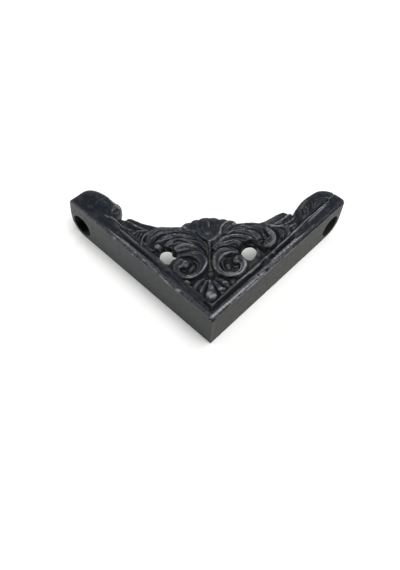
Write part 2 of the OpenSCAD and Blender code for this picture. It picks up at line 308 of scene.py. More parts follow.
@dataclass(frozen=True)
class OldIron:
    """Dark cast iron under an old waxed skin, worn brighter on its edges, with painted highlights on its
    high places, painted shade in its creases, bores and under the right bead, and painted light on the left
    arm's side.

    The marks that steer it are stored on the casting by Casting.mark.

    Attributes:
        skin: Colour of the skin.
        worn: Colour of the sharp edges.
        dirt: Colour of the hollows.
        side: Colour of the right arm's outer side.
        side_left_with_painted_light: Colour of the left arm's outer side, kept paler than the right's as
            painted light where the lamps leave that side darker.
        rubbed_and_sheen: Colour of the high places: wear, with a painted highlight where the light catches
            them.
        bright: Colour of what hands have worn most, and of the painted highlights on ridges, rims and bulbs.
        olive: Colour of old dirt.
        shade_and_soot: Colour of the deepest lines, the creases, the line below the right bead and the
            corner's nick: painted shade, with some black grime in the deepest lines.
        depth: Colour inside the bores: painted shade, with some dirt.
        shine: Level of the skin's reflection.
        gloss: Roughness of the plain skin.
        relief: Depth of its finest bumps, in metres.
        split: How fast the left side's colour turns into the right one's, per metre.
    """

    skin: Colour = (0.0065, 0.0095, 0.014)
    worn: Colour = (0.060, 0.064, 0.075)
    dirt: Colour = (0.011, 0.010, 0.007)
    side: Colour = (0.019, 0.0195, 0.014)
    side_left_with_painted_light: Colour = (0.031, 0.037, 0.037)
    rubbed_and_sheen: Colour = (0.060, 0.061, 0.070)
    bright: Colour = (0.33, 0.335, 0.355)
    olive: Colour = (0.048, 0.043, 0.026)
    shade_and_soot: Colour = (0.004, 0.004, 0.004)
    depth: Colour = (0.004, 0.004, 0.003)
    shine: float = 0.21
    gloss: float = 0.34
    relief: float = 0.12 * MM
    split: float = 400.0

    @staticmethod
    def marks(n: Nodes) -> dict[str, Value]:
        """Returns the marks that the casting carries, by name."""
        names = ("edge", "ridge", "hollow", "flank", "bore", "crease", "polish_and_highlight", "dirt", "quirk")
        return {name: n.add("ShaderNodeAttribute", {"attribute_name": name}, None, "Fac") for name in names}

    def side_colour(self, n: Nodes, place: Value) -> Value:
        """Returns the colour of the outer sides, told apart by the sign of x minus y; the left side's paler
        colour is painted light.
        """
        axes = n.node("ShaderNodeSeparateXYZ", {}, [place])
        split = Value(n, axes.outputs[0]) - Value(n, axes.outputs[1])
        return n.blend((split * self.split).clamped(), self.side_left_with_painted_light, self.side)

    def material(self) -> bpy.types.Material:
        """Returns the material."""
        n = Nodes("old_iron")
        place = n.add("ShaderNodeTexCoord", {}, None, "Object")
        m = self.marks(n)
        cloud = n.noise(place, 90.0, 4.0)
        grain = n.noise(place, 900.0, 3.0, 0.6)
        fleck = n.noise(place, 2600.0, 2.0, 0.6)
        blotch = n.noise(place, 340.0, 4.0, 0.65)
        spots = grain.step(0.35, 0.62)
        paler = tuple(1.7 * c for c in self.skin)
        coats = (
            (blotch.step(0.5, 0.66) * 0.35, self.rubbed_and_sheen),
            # High places take the worn colour, which also serves as a painted highlight.
            ((m["ridge"] * (spots * 0.6 + 0.4)).clamped(), self.rubbed_and_sheen),
            (m["hollow"] * spots, self.dirt),
            ((m["dirt"] * (blotch.step(0.35, 0.6) * 0.8 + 0.2)).clamped(), self.olive),
            # The left side takes a paler colour than the right one: painted light.
            (m["flank"], self.side_colour(n, place)),
            ((m["edge"] * grain.step(0.3, 0.7) * 0.8).clamped(), self.worn),
            # The polishing marks are painted highlights as well as wear.
            ((m["polish_and_highlight"] * (spots * 0.55 + 0.45)).clamped(), self.bright),
            # Creases and the deepest lines are painted black: painted shade, partly grime.
            ((m["crease"] * 0.85).clamped(), self.shade_and_soot),
            # The line below the right bead and the corner's nick are painted dark: painted shade.
            ((m["quirk"] * blotch.step(0.3, 0.45)).clamped(), self.shade_and_soot),
            # The bores' walls are painted dark: painted shade, partly dirt.
            (m["bore"] * 0.9, self.depth),
        )
        colour = n.blend((cloud - 0.3).clamped() * 0.9, self.skin, paler)
        for share, coat in coats:
            colour = n.blend(share, colour, coat)
        rough = (self.gloss + m["bore"] * 0.4 + (grain - 0.5) * 0.22 + m["hollow"] * 0.2
                 + m["crease"] * 0.4 - m["edge"] * 0.08 + m["dirt"] * 0.2 + m["quirk"] * 0.7
                 + m["flank"] * 0.13 + (blotch - 0.5) * m["flank"] * 0.3)
        bump = n.add("ShaderNodeBump", {}, {
            "Strength": 0.35, "Distance": self.relief, "Height": grain * 0.6 + fleck * 0.4}, "Normal")
        n.surface(n.node("ShaderNodeBsdfPrincipled", {}, {
            "Base Color": colour, "Roughness": rough.clamped(), "Normal": bump,
            "Specular IOR Level": self.shine}))
        return n.material


@dataclass(frozen=True)
class WhiteTable:
    """The pale table top.

    Attributes:
        colour: Its colour.
        glow: How much brighter it looks, to the camera and in reflections, than its light makes it.
        rough: Its roughness.
        shine: Level of its reflection.
    """

    colour: Colour = (0.93, 0.93, 0.92)
    glow: float = 0.13
    rough: float = 0.9
    shine: float = 0.1

    def material(self) -> bpy.types.Material:
        """Returns the material."""
        n = Nodes("white_table")
        seen, mirrored, through = (
            n.add("ShaderNodeLightPath", {}, None, name)
            for name in ("Is Camera Ray", "Is Glossy Ray", "Is Transmission Ray"))
        lift = (seen + mirrored + through).clamped() * self.glow
        n.surface(n.node("ShaderNodeBsdfPrincipled", {}, {
            "Base Color": (*self.colour, 1.0), "Roughness": self.rough, "Specular IOR Level": self.shine,
            "Emission Color": (1.0, 1.0, 1.0, 1.0), "Emission Strength": lift}))
        return n.material


# ---- The casting ------------------------------------------------------------


@dataclass
class Casting:
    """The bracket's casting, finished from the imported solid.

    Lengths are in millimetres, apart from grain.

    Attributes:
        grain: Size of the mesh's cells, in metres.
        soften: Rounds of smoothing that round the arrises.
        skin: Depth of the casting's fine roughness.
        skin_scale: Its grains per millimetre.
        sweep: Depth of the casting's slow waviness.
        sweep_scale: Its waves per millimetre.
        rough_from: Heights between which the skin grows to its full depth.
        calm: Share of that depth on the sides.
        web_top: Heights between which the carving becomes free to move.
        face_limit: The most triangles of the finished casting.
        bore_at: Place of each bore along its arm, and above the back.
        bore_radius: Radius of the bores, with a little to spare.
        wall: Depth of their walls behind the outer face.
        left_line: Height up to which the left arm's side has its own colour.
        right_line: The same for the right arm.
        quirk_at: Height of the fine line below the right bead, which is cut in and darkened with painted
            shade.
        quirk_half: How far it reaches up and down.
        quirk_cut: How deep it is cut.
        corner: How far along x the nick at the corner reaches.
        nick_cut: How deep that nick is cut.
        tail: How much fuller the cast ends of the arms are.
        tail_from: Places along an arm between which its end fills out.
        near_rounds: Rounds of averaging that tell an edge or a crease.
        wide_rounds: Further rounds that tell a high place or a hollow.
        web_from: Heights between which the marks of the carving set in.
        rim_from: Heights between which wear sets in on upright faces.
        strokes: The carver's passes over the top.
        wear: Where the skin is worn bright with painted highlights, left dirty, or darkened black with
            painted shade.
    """

    grain: float = 0.26 * MM
    coarser: float = 1.7
    soften: int = 6
    skin: float = 0.05
    skin_scale: float = 1.1
    sweep: float = 0.05
    sweep_scale: float = 0.22
    rough_from: Point = (14.0, 18.0)
    calm: float = 0.25
    web_top: Point = (15.4, 17.2)
    face_limit: int = 196_000
    bore_at: Point = (84.6, 7.6)
    bore_radius: float = 5.8
    wall: float = 6.3
    left_line: float = 18.0
    right_line: float = 19.4
    quirk_at: float = 19.08
    quirk_half: float = 0.4
    quirk_cut: float = 1.3
    corner: float = 2.5
    nick_cut: float = 0.8
    tail: float = 0.6
    tail_from: Point = (86.0, 91.5)
    near_rounds: int = 8
    wide_rounds: int = 60
    web_from: Point = (15.0, 17.0)
    rim_from: Point = (18.4, 19.2)
    strokes: Passes = ()
    wear: Passes = ()

    def copy_solid(self, solid: bpy.types.Object) -> bpy.types.Object:
        """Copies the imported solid's mesh into a new piece and closes it.

        Args:
            solid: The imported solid, which stays as it is.

        Returns:
            The new piece, active and alone in the selection.
        """
        bpy.ops.object.select_all(action="DESELECT")
        piece = bpy.data.objects.new("casting", solid.data.copy())
        bpy.context.scene.collection.objects.link(piece)
        piece.data.materials.clear()
        piece.select_set(True)
        bpy.context.view_layer.objects.active = piece
        bpy.ops.object.mode_set(mode="EDIT")
        bpy.ops.mesh.select_all(action="SELECT")
        bpy.ops.mesh.remove_doubles(threshold=WELD)
        bpy.ops.object.mode_set(mode="OBJECT")
        return piece

    def apply(self, piece: bpy.types.Object, kind: str, **settings: object) -> None:
        """Adds a modifier to the piece and applies it.

        Args:
            piece: The piece, which is active.
            kind: The modifier's type.
            settings: Its settings.
        """
        modifier = piece.modifiers.new(kind.lower(), kind)
        for name, value in settings.items():
            setattr(modifier, name, value)
        bpy.ops.object.modifier_apply(modifier=modifier.name)

    @staticmethod
    def read(piece: bpy.types.Object) -> tuple[np.ndarray, np.ndarray]:
        """Returns the piece's vertices and their normals as arrays."""
        count = len(piece.data.vertices)
        place, normal = np.zeros(count * 3), np.zeros(count * 3)
        piece.data.vertices.foreach_get("co", place)
        piece.data.vertices.foreach_get("normal", normal)
        return place.reshape(-1, 3), normal.reshape(-1, 3)

    @staticmethod
    def write(piece: bpy.types.Object, place: np.ndarray) -> None:
        """Puts the vertices at place."""
        piece.data.vertices.foreach_set("co", place.ravel())
        piece.data.update()

    def carve(self, piece: bpy.types.Object) -> None:
        """Makes the carver's passes over the top of the casting."""
        place, normal = self.read(piece)
        mm = place / MM
        uv = layout(mm)
        z = mm[:, 2].copy()
        hold = ramp(z, *self.web_top) * (normal[:, 2] > FACES_DOWN)
        for stroke in self.strokes:
            stroke.apply(uv, z, hold)
        place[:, 2] = z * MM
        self.write(piece, place)

    def roughen(self, piece: bpy.types.Object, low: Vector, high: Vector) -> None:
        """Gives the casting its fine skin and slow waviness, inside the box from low to high."""
        place, normal = self.read(piece)
        mm = place / MM
        push = np.empty(len(mm))
        for i, point in enumerate(mm):
            p = Vector(point) + SEED_SHIFT
            push[i] = (self.skin * noise.noise(p * self.skin_scale)
                       + self.sweep * noise.noise(p * self.sweep_scale))
        share = np.maximum(ramp(mm[:, 2], *self.rough_from), self.calm)
        place = place + normal * (push * share * MM)[:, None]
        for axis in (0, 1):
            place[:, axis] += self.tail * ramp(mm[:, axis], *self.tail_from) ** 2 * MM
        cut = self.under_bead(mm) * np.clip(0.75 + 2.5 * push / self.skin, 0.2, 1)
        place[:, 1] += self.quirk_cut * cut * MM
        place[:, 0] += self.nick_cut * cut * (mm[:, 0] < self.corner) * MM
        place = np.clip(place, np.array(low), np.array(high))
        self.write(piece, place)

    def mark(self, piece: bpy.types.Object) -> None:
        """Stores how exposed, how sunk and how upright each vertex is, for the finish."""
        mesh = piece.data
        place, normal = self.read(piece)
        mm = place / MM
        close = self.averaged(mesh, place, self.near_rounds)
        near = ((place - close) * normal).sum(1) / MM
        wide = ((place - self.averaged(mesh, close, self.wide_rounds)) * normal).sum(1) / MM
        above = ramp(mm[:, 2], *self.web_from)
        rim = ramp(mm[:, 2], *self.rim_from)
        upright = np.clip(1 - np.abs(normal[:, 2]) * 3, 0, 1)
        side_top = np.where(mm[:, 0] < 1, self.left_line, self.right_line)
        uv = layout(mm)
        painted = {tool: np.zeros(len(mm)) for tool in MARKING}
        for stroke in self.wear:
            stroke.apply(uv, painted[stroke.tool], above * np.where(upright > 0.3, rim, 1))
        marks = {
            # Polishing marks: wear and painted highlights.
            "polish_and_highlight": painted[Tool.POLISH],
            "dirt": painted[Tool.DIRT],
            # High places: wear, and a painted highlight.
            "ridge": np.clip(wide * 1.8 - 0.05, 0, 1) * above,
            "edge": np.clip(near * 9.0 - 0.12, 0, 1),
            "hollow": np.clip(-wide * 1.6 - 0.15, 0, 1) * above,
            # Creases and blackened lines: painted shade, partly grime.
            "crease": np.clip(np.maximum(-near * 17.0 - 0.1, painted[Tool.SOOT]), 0, 1) * above,
            # The line below the right bead and the corner's nick: painted shade.
            "quirk": self.under_bead(mm),
            "flank": upright * np.clip((side_top - mm[:, 2]) * 2.5, 0, 1),
            # Bore walls: painted shade, partly dirt.
            "bore": self.in_bores(mm),
        }
        for name, values in marks.items():
            layer = mesh.attributes.new(name, "FLOAT", "POINT")
            layer.data.foreach_set("value", values.astype(np.float32))

    @staticmethod
    def averaged(mesh: bpy.types.Mesh, values: np.ndarray, rounds: int) -> np.ndarray:
        """Averages the vertices' values over their neighbours, again and again.

        Args:
            mesh: The mesh whose edges join the neighbours.
            values: One row for each vertex.
            rounds: How often the values are averaged.

        Returns:
            The averaged rows.
        """
        ends = np.zeros(len(mesh.edges) * 2, np.int64)
        mesh.edges.foreach_get("vertices", ends)
        a, b = ends.reshape(-1, 2).T
        count = np.bincount(ends, minlength=len(values)).astype(float)
        for _ in range(rounds):
            total = np.stack([np.bincount(a, column[b], len(values)) + np.bincount(b, column[a], len(values))
                              for column in values.T], 1)
            values = total / count[:, None]
        return values

    def under_bead(self, mm: np.ndarray) -> np.ndarray:
        """Returns how deep each point lies in the line below the right bead, or in the corner's nick.

        Args:
            mm: Points, in millimetres.

        Returns:
            A share from 0 to 1 for each point.
        """
        x, y, z = mm.T
        line = np.exp(-(((z - self.quirk_at) / self.quirk_half) ** 2)) * (y < 1.3) * (x > self.corner)
        nick = np.exp(-((np.hypot(x, y) / 1.4) ** 2) - ((z - 18.2) / 0.7) ** 2)
        return np.clip(np.maximum(line, nick), 0, 1)

    def in_bores(self, mm: np.ndarray) -> np.ndarray:
        """Returns 1 for each point on the wall of a bore, and 0 for the others."""
        along, height = self.bore_at
        inside = np.zeros(len(mm))
        for arm, depth in ((0, 1), (1, 0)):
            gap = np.hypot(mm[:, arm] - along, mm[:, 2] - height)
            inside[(gap < self.bore_radius) & (mm[:, depth] < self.wall)] = 1
        return inside

    def build(self, solid: bpy.types.Object, low: Vector, high: Vector) -> bpy.types.Object:
        """Makes the finished casting.

        Args:
            solid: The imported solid.
            low: The lowest corner of its box.
            high: The highest corner of its box.

        Returns:
            The casting, riding on the bracket's body.
        """
        piece = self.copy_solid(solid)
        cell = self.grain * 1.0
        self.apply(piece, "REMESH", mode="VOXEL", voxel_size=cell, use_smooth_shade=True)
        log.info("remeshed: %d vertices", len(piece.data.vertices))
        self.apply(piece, "SMOOTH", factor=0.5, iterations=self.soften)
        self.carve(piece)
        self.apply(piece, "SMOOTH", factor=0.5, iterations=1)
        self.roughen(piece, low, high)
        self.mark(piece)
        faces = 2 * len(piece.data.polygons)
        log.info("carved: %d vertices, %d triangles", len(piece.data.vertices), faces)
        if faces > self.face_limit:
            self.apply(piece, "DECIMATE", decimate_type="COLLAPSE", ratio=self.face_limit / faces)
        self.write(piece, np.clip(self.read(piece)[0], np.array(low), np.array(high)))
        bpy.ops.object.shade_smooth()
        piece.data.materials.append(OldIron().material())
        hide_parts(NODE)
        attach(piece, BODY)
        log.info("casting: %d faces", len(piece.data.polygons))
        return piece


# ---- Table, light and camera -------------------------------------------------


@dataclass(frozen=True)
class Lamp:
    """One soft square lamp that faces the bracket.

    Attributes:
        name: Its name.
        across: Its place across the bracket, in metres.
        outward: Its place along the bracket's diagonal, in metres.
        height: Its height above the table, in metres.
        size: Its side, in metres.
        watts: Its power.
    """

    name: str
    across: float
    outward: float
    height: float
    size: float
    watts: float

    def add(self, target: Vector) -> None:
        """Adds the lamp to the scene, facing the target."""
        data = bpy.data.lights.new(self.name, "AREA")
        data.size, data.energy = self.size, self.watts
        lamp = bpy.data.objects.new(self.name, data)
        x, y = (self.outward + self.across) / math.sqrt(2), (self.outward - self.across) / math.sqrt(2)
        lamp.location = Vector((x, y, self.height))
        lamp.rotation_euler = (target - lamp.location).to_track_quat("-Z", "Y").to_euler()
        bpy.context.scene.collection.objects.link(lamp)


@dataclass(frozen=True)
class Studio:
    """The table, the soft lights and the camera.

    Attributes:
        turn_deg: Direction of the camera about the upright axis.
        rise_deg: Its height above the table, as an angle.
        roll_deg: Its roll.
        aim: Shift of the camera to its right and upwards, in metres.
        distance: Its distance from the origin along its line of sight, in metres.
        lens: Its focal length, in millimetres.
        sensor: Length of its sensor's long side, in millimetres.
        near: Nearest distance that it sees, in metres.
        picture: Width and height of its picture, in pixels.
        table: Side of the table top, in metres.
        middle: Middle of the bracket, over which the table top lies and at which the lamps aim.
        sky: Strength of the room's even light.
        lamps: The lamps.
    """

    turn_deg: float = 221.739823
    rise_deg: float = 55.065828
    roll_deg: float = 2.533619
    aim: Point = (-0.0044955, 0.0250164)
    distance: float = 0.2133864
    lens: float = 31.578947
    sensor: float = 36.0
    near: float = 0.005
    picture: tuple[int, int] = (400, 570)
    table: float = 1.6
    middle: tuple[float, float, float] = (0.03, 0.03, 0.01)
    sky: float = 0.02
    lamps: tuple[Lamp, ...] = (
        Lamp("window", across=0.15, outward=0.05, height=0.60, size=0.40, watts=2.9),
        Lamp("front", across=0.20, outward=-0.15, height=0.60, size=0.20, watts=1.15),
        Lamp("left_low", across=-0.45, outward=0.10, height=0.15, size=0.20, watts=1.0),
        Lamp("far_left", across=-0.28, outward=0.50, height=0.24, size=0.20, watts=0.15),
        Lamp("low_back", across=0.0, outward=0.55, height=0.14, size=0.15, watts=1.1),
    )

    def axes(self) -> tuple[Vector, Vector, Vector, Vector]:
        """Returns the camera's directions to its right, upwards and backwards, and its place."""
        a, e, r = (math.radians(v) for v in (self.turn_deg, self.rise_deg, self.roll_deg))
        back = Vector((math.cos(e) * math.cos(a), math.cos(e) * math.sin(a), math.sin(e)))
        level = Vector((-math.sin(a), math.cos(a), 0.0))
        steep = back.cross(level)
        right = level * math.cos(r) + steep * math.sin(r)
        up = steep * math.cos(r) - level * math.sin(r)
        return right, up, back, right * self.aim[0] + up * self.aim[1] + back * self.distance

    def seen_at(self, column: float, row: float, height: float) -> Point:
        """Finds what the camera sees at one point of its picture.

        Args:
            column: The point's distance from the picture's left edge, in pixels.
            row: Its distance from the top edge, in pixels.
            height: Height above the back at which the line of sight ends, in millimetres.

        Returns:
            The place (across, outward) in the layout, to the nearest 0.1 mm.
        """
        right, up, back, place = self.axes()
        wide, tall = self.picture
        pixel = self.sensor / self.lens / max(wide, tall)
        ray = right * ((column - wide / 2) * pixel) - up * ((row - tall / 2) * pixel) - back
        spot = (place + ray * ((height * MM - place.z) / ray.z)) / MM
        across, outward = layout(np.array([spot]))[0]
        return round(float(across), 1), round(float(outward), 1)

    def camera(self) -> None:
        """Adds the camera."""
        right, up, back, place = self.axes()
        data = bpy.data.cameras.new("camera")
        data.lens, data.sensor_width, data.clip_start = self.lens, self.sensor, self.near
        camera = bpy.data.objects.new("camera", data)
        rows = Matrix((right, up, back)).transposed().to_4x4()
        rows.translation = place
        camera.matrix_world = rows
        bpy.context.scene.collection.objects.link(camera)
        bpy.context.scene.camera = camera

    def floor(self) -> None:
        """Adds the table top."""
        bpy.ops.object.select_all(action="DESELECT")
        bpy.ops.mesh.primitive_plane_add(size=self.table, location=(*self.middle[:2], 0.0))
        floor = bpy.context.active_object
        floor.name = "table_top"
        bpy.ops.object.transform_apply(location=True, rotation=True, scale=True)
        floor.data.materials.append(WhiteTable().material())

    def light(self) -> None:
        """Adds the room's light and the lamps."""
        world = bpy.data.worlds.new("room")
        bpy.context.scene.world = world
        world.use_nodes = True
        sky = world.node_tree.nodes["Background"]
        sky.inputs["Color"].default_value = (1.0, 1.0, 1.0, 1.0)
        sky.inputs["Strength"].default_value = self.sky
        for lamp in self.lamps:
            lamp.add(Vector(self.middle))

    def build(self) -> None:
        """Builds the whole studio."""
        self.camera()
        self.floor()
        self.light()
        bpy.context.scene.view_settings.view_transform = "Standard"


@dataclass(frozen=True)
class Window:
    """An enlarged window of the camera's picture, in which passes are placed.

    Attributes:
        left: Its left edge, in pixels of the picture.
        top: Its top edge, in pixels of the picture.
        zoom: How many of its own pixels stand for one pixel of the picture.
        studio: The studio whose camera takes the picture.
    """

    left: float
    top: float
    zoom: float
    studio: Studio = Studio()

    def stroke(self, tool: Tool, width: float, amount: float, *points: Point,
               fade: float = 0.2, height: float = 19.6) -> Stroke:
        """Places one pass where the camera sees it.

        Args:
            tool: What the pass does.
            width: Full width of the pass, in millimetres.
            amount: The pass's amount, as in Stroke.
            points: Points of its line, in the window's own pixels.
            fade: The pass's fade, as in Stroke.
            height: Height above the back of what is seen there, in millimetres.

        Returns:
            The pass, with its line in the layout.
        """
        line = tuple(self.studio.seen_at(self.left + x / self.zoom, self.top + y / self.zoom, height)
                     for x, y in points)
        return Stroke(tool, line, width, amount, fade)

    ridge = partialmethod(stroke, Tool.RIDGE)
    groove = partialmethod(stroke, Tool.GROOVE)
    fill = partialmethod(stroke, Tool.FILL)
    level = partialmethod(stroke, Tool.LEVEL)
    # A polishing pass paints highlights as well as wear.
    polish_and_highlight = partialmethod(stroke, Tool.POLISH)
    dirt = partialmethod(stroke, Tool.DIRT)
    # A blackening pass paints shade as well as grime.
    shade_and_soot = partialmethod(stroke, Tool.SOOT)


# ---- Windows of the camera's picture: left edge, top edge, zoom ----------------

SHELL = Window(172, 196, 19)
RIGHT_FRONDS = Window(205, 212, 19)
LEFT_FRONDS = Window(135, 212, 19)
VOLUTES = Window(168, 240, 17)
RIGHT_VOLUTE = Window(232, 238, 20)
BUD = Window(168, 262, 18)
LEFT_SPRAYS = Window(92, 205, 20)
RIGHT_END = Window(258, 200, 20)
LEFT_SIDE = Window(95, 205, 8)
RIGHT_BORDER = Window(205, 225, 10)
CORNER = Window(176, 262, 12.5)
CREST = Window(178, 212, 20)


# ---- The carver's passes, in their order --------------------------------------

# Shell: its ribs worn shallow, one deep line, and the strands on its right.
SHELL_STROKES: Passes = (
    SHELL.level(15, 19.75, (700, 780), (690, 680), (670, 560), (650, 470), fade=0.3, height=19.8),
    SHELL.level(7, 19.7, (330, 600), (450, 610), (520, 640), fade=0.3, height=19.8),
    SHELL.groove(0.7, 0.35, (735, 480), (730, 540), (733, 600), (748, 675)),
    SHELL.groove(0.6, 0.2, (650, 545), (668, 610), (690, 680), fade=0.3),
    SHELL.groove(0.6, 0.15, (890, 500), (885, 560), (872, 640), fade=0.3),
    SHELL.groove(0.6, 0.2, (500, 560), (520, 620), (560, 690), fade=0.3),
    SHELL.ridge(0.8, 0.4, (715, 865), (770, 825), (830, 780), (900, 700), (925, 620), (960, 570),
        (1000, 525), (1070, 490), fade=0.1),
    SHELL.groove(0.7, 0.4, (735, 885), (800, 850), (860, 790), (915, 735), fade=0.1),
    SHELL.ridge(0.6, 0.25, (860, 830), (915, 770), (960, 725), (1010, 690)),
    SHELL.groove(0.6, 0.4, (945, 700), (975, 650), (1020, 605), (1080, 565)),
    SHELL.ridge(0.6, 0.3, (965, 710), (1010, 650), (1060, 605), (1130, 565)),
    SHELL.groove(0.6, 0.35, (1030, 715), (1090, 650), (1150, 600), (1230, 560), (1270, 540)),
    SHELL.ridge(1.0, 0.3, (1140, 540), (1200, 530), fade=0.3),
    SHELL.groove(0.6, 0.3, (1115, 590), (1170, 560), (1225, 545), fade=0.3),
    SHELL.groove(0.9, 0.5, (425, 680), (480, 740), (560, 800), (640, 860), (705, 890), fade=0.15),
    SHELL.groove(0.7, 0.3, (350, 560), (370, 600), (420, 630), (440, 690), fade=0.3),
    SHELL.ridge(1.2, 0.3, (215, 625), (250, 605), fade=0.3),
    SHELL.ridge(0.7, 0.45, (668, 868), (700, 900), (735, 910), (765, 895)),
    SHELL.ridge(0.8, 0.3, (590, 880), (615, 890), fade=0.3),
)
# Right fronds.
RIGHT_FROND_STROKES: Passes = (
    RIGHT_FRONDS.groove(0.8, 0.5, (430, 400), (370, 430), (320, 465), (230, 545), (170, 620), (140, 700),
        (128, 790), (133, 880), (150, 960), fade=0.1),
    RIGHT_FRONDS.groove(0.7, 0.4, (560, 290), (640, 252), (740, 236), (860, 240), (980, 238), (1080, 262),
        (1150, 310), fade=0.15),
    RIGHT_FRONDS.ridge(0.7, 0.3, (470, 335), (560, 300), (640, 272), (720, 262), (820, 268), (900, 290)),
    RIGHT_FRONDS.groove(0.7, 0.45, (440, 365), (520, 332), (620, 318), (720, 322), (800, 338), (870, 360),
        fade=0.15),
    RIGHT_FRONDS.ridge(0.7, 0.35, (460, 395), (540, 362), (640, 348), (740, 352), (830, 372), (900, 410),
        (960, 450)),
    RIGHT_FRONDS.ridge(0.7, 0.25, (860, 340), (930, 360), (990, 400), (1040, 450), fade=0.3),
    RIGHT_FRONDS.groove(1.0, 0.5, (430, 425), (520, 398), (620, 390), (720, 398), (820, 420), (900, 458),
        (970, 510), fade=0.15),
    RIGHT_FRONDS.ridge(0.8, 0.5, (240, 625), (300, 555), (400, 485), (500, 452), (600, 440), (700, 450),
        (800, 470), (880, 505), (955, 560), fade=0.1),
    RIGHT_FRONDS.groove(0.8, 0.6, (400, 525), (480, 497), (560, 486), (650, 488), (740, 506), (790, 530),
        fade=0.15),
    RIGHT_FRONDS.ridge(0.8, 0.45, (360, 592), (420, 566), (520, 545), (620, 550), (690, 577), (735, 630),
        fade=0.1),
    RIGHT_FRONDS.groove(1.0, 0.4, (420, 620), (520, 600), (600, 610), (660, 650)),
    RIGHT_FRONDS.groove(1.4, 0.8, (560, 640), (660, 668), (760, 690), fade=0.25),
    RIGHT_FRONDS.ridge(0.7, 0.25, (500, 692), (560, 674), (615, 670), fade=0.3),
    RIGHT_FRONDS.groove(0.9, 0.5, (150, 800), (195, 735), (270, 690), (350, 672), (440, 682), (520, 702),
        (600, 735), fade=0.15),
    RIGHT_FRONDS.groove(1.8, 1.3, (1100, 345), (1150, 380), (1190, 430), (1180, 490), fade=0.25),
    RIGHT_FRONDS.groove(1.6, 1.0, (1010, 530), (1070, 505), (1150, 500), fade=0.25),
    RIGHT_FRONDS.ridge(0.7, 0.5, (1088, 370), (1108, 420), (1095, 480), fade=0.3),
    RIGHT_FRONDS.groove(0.7, 0.4, (1050, 310), (1120, 335), (1180, 385), (1205, 450), (1180, 510)),
    RIGHT_FRONDS.ridge(1.2, 0.3, (1290, 380), (1330, 450), (1320, 540), (1270, 610), (1210, 655)),
    RIGHT_FRONDS.groove(0.9, 0.6, (1140, 725), (1240, 700), (1340, 610), (1390, 540)),
    RIGHT_FRONDS.groove(2.2, 0.9, (800, 570), (880, 590), (970, 610), fade=0.3, height=19),
    RIGHT_FRONDS.ridge(2.6, 0.9, (985, 790), (1025, 820), fade=0, height=18.6),
    RIGHT_FRONDS.groove(1.0, 0.6, (1050, 710), (1105, 760), (1160, 790), height=18.6),
    RIGHT_FRONDS.ridge(1.6, 0.5, (1160, 755), (1240, 730), fade=0.3, height=18.6),
)
# Left fronds.
LEFT_FROND_STROKES: Passes = (
    LEFT_FRONDS.groove(0.8, 0.45, (600, 410), (680, 395), (780, 380), (880, 395), (980, 425), (1080, 455),
        (1150, 480), fade=0.15),
    LEFT_FRONDS.ridge(0.7, 0.25, (560, 450), (640, 420), (740, 440), (850, 450), (960, 470)),
    LEFT_FRONDS.groove(0.9, 0.35, (640, 500), (740, 480), (860, 480), (960, 500), (1060, 530)),
    LEFT_FRONDS.ridge(0.7, 0.4, (590, 580), (650, 545), (740, 528), (840, 515), (940, 520), (1020, 550),
        (1090, 600), (1170, 650), fade=0.15),
    LEFT_FRONDS.groove(0.9, 0.5, (700, 590), (780, 555), (860, 545), (960, 565), (1000, 580), fade=0.15),
    LEFT_FRONDS.groove(1.0, 0.5, (690, 660), (760, 610), (840, 590), (900, 588), fade=0.15),
    LEFT_FRONDS.ridge(2.6, 0.3, (760, 680), (850, 640), (960, 620), (1060, 650), (1120, 690)),
    LEFT_FRONDS.groove(0.7, 0.4, (1090, 590), (1160, 640), (1230, 700), (1260, 740)),
    LEFT_FRONDS.groove(0.6, 0.35, (1080, 700), (1150, 725), (1200, 745)),
    LEFT_FRONDS.groove(0.9, 0.5, (850, 840), (940, 790), (1030, 765), (1120, 765), (1200, 800), fade=0.15),
    LEFT_FRONDS.ridge(0.6, 0.35, (300, 450), (345, 400), (400, 370), (460, 360)),
    LEFT_FRONDS.groove(0.8, 0.55, (305, 490), (335, 440), (390, 400), (430, 385)),
    LEFT_FRONDS.ridge(0.6, 0.3, (375, 450), (420, 410), (480, 380), (540, 370)),
    LEFT_FRONDS.ridge(0.6, 0.4, (370, 560), (430, 520), (500, 460), (560, 415), (620, 390)),
    LEFT_FRONDS.groove(0.7, 0.5, (440, 545), (500, 500), (560, 450), (620, 420)),
    LEFT_FRONDS.groove(0.8, 0.5, (330, 575), (430, 580), (520, 580), (590, 560)),
    LEFT_FRONDS.groove(0.7, 0.4, (325, 540), (345, 500), (370, 470)),
    LEFT_FRONDS.groove(1.2, 0.8, (150, 600), (180, 520), (240, 430), fade=0.3),
    LEFT_FRONDS.ridge(3.4, 0.7, (330, 690), (400, 670), (440, 650), fade=0.3, height=19.8),
    LEFT_FRONDS.groove(1.5, 1.0, (480, 670), (500, 720), (430, 780), fade=0.3, height=19),
    LEFT_FRONDS.groove(1.2, 0.6, (640, 740), (720, 760), (770, 800), fade=0.3, height=19),
    LEFT_FRONDS.groove(0.8, 0.4, (100, 600), (140, 560), (180, 480)),
    LEFT_FRONDS.groove(0.8, 0.35, (860, 315), (960, 350), (1060, 385), (1150, 440), (1210, 500)),
    LEFT_FRONDS.ridge(0.7, 0.25, (700, 350), (800, 345), (900, 360), (1000, 395), (1090, 440)),
)
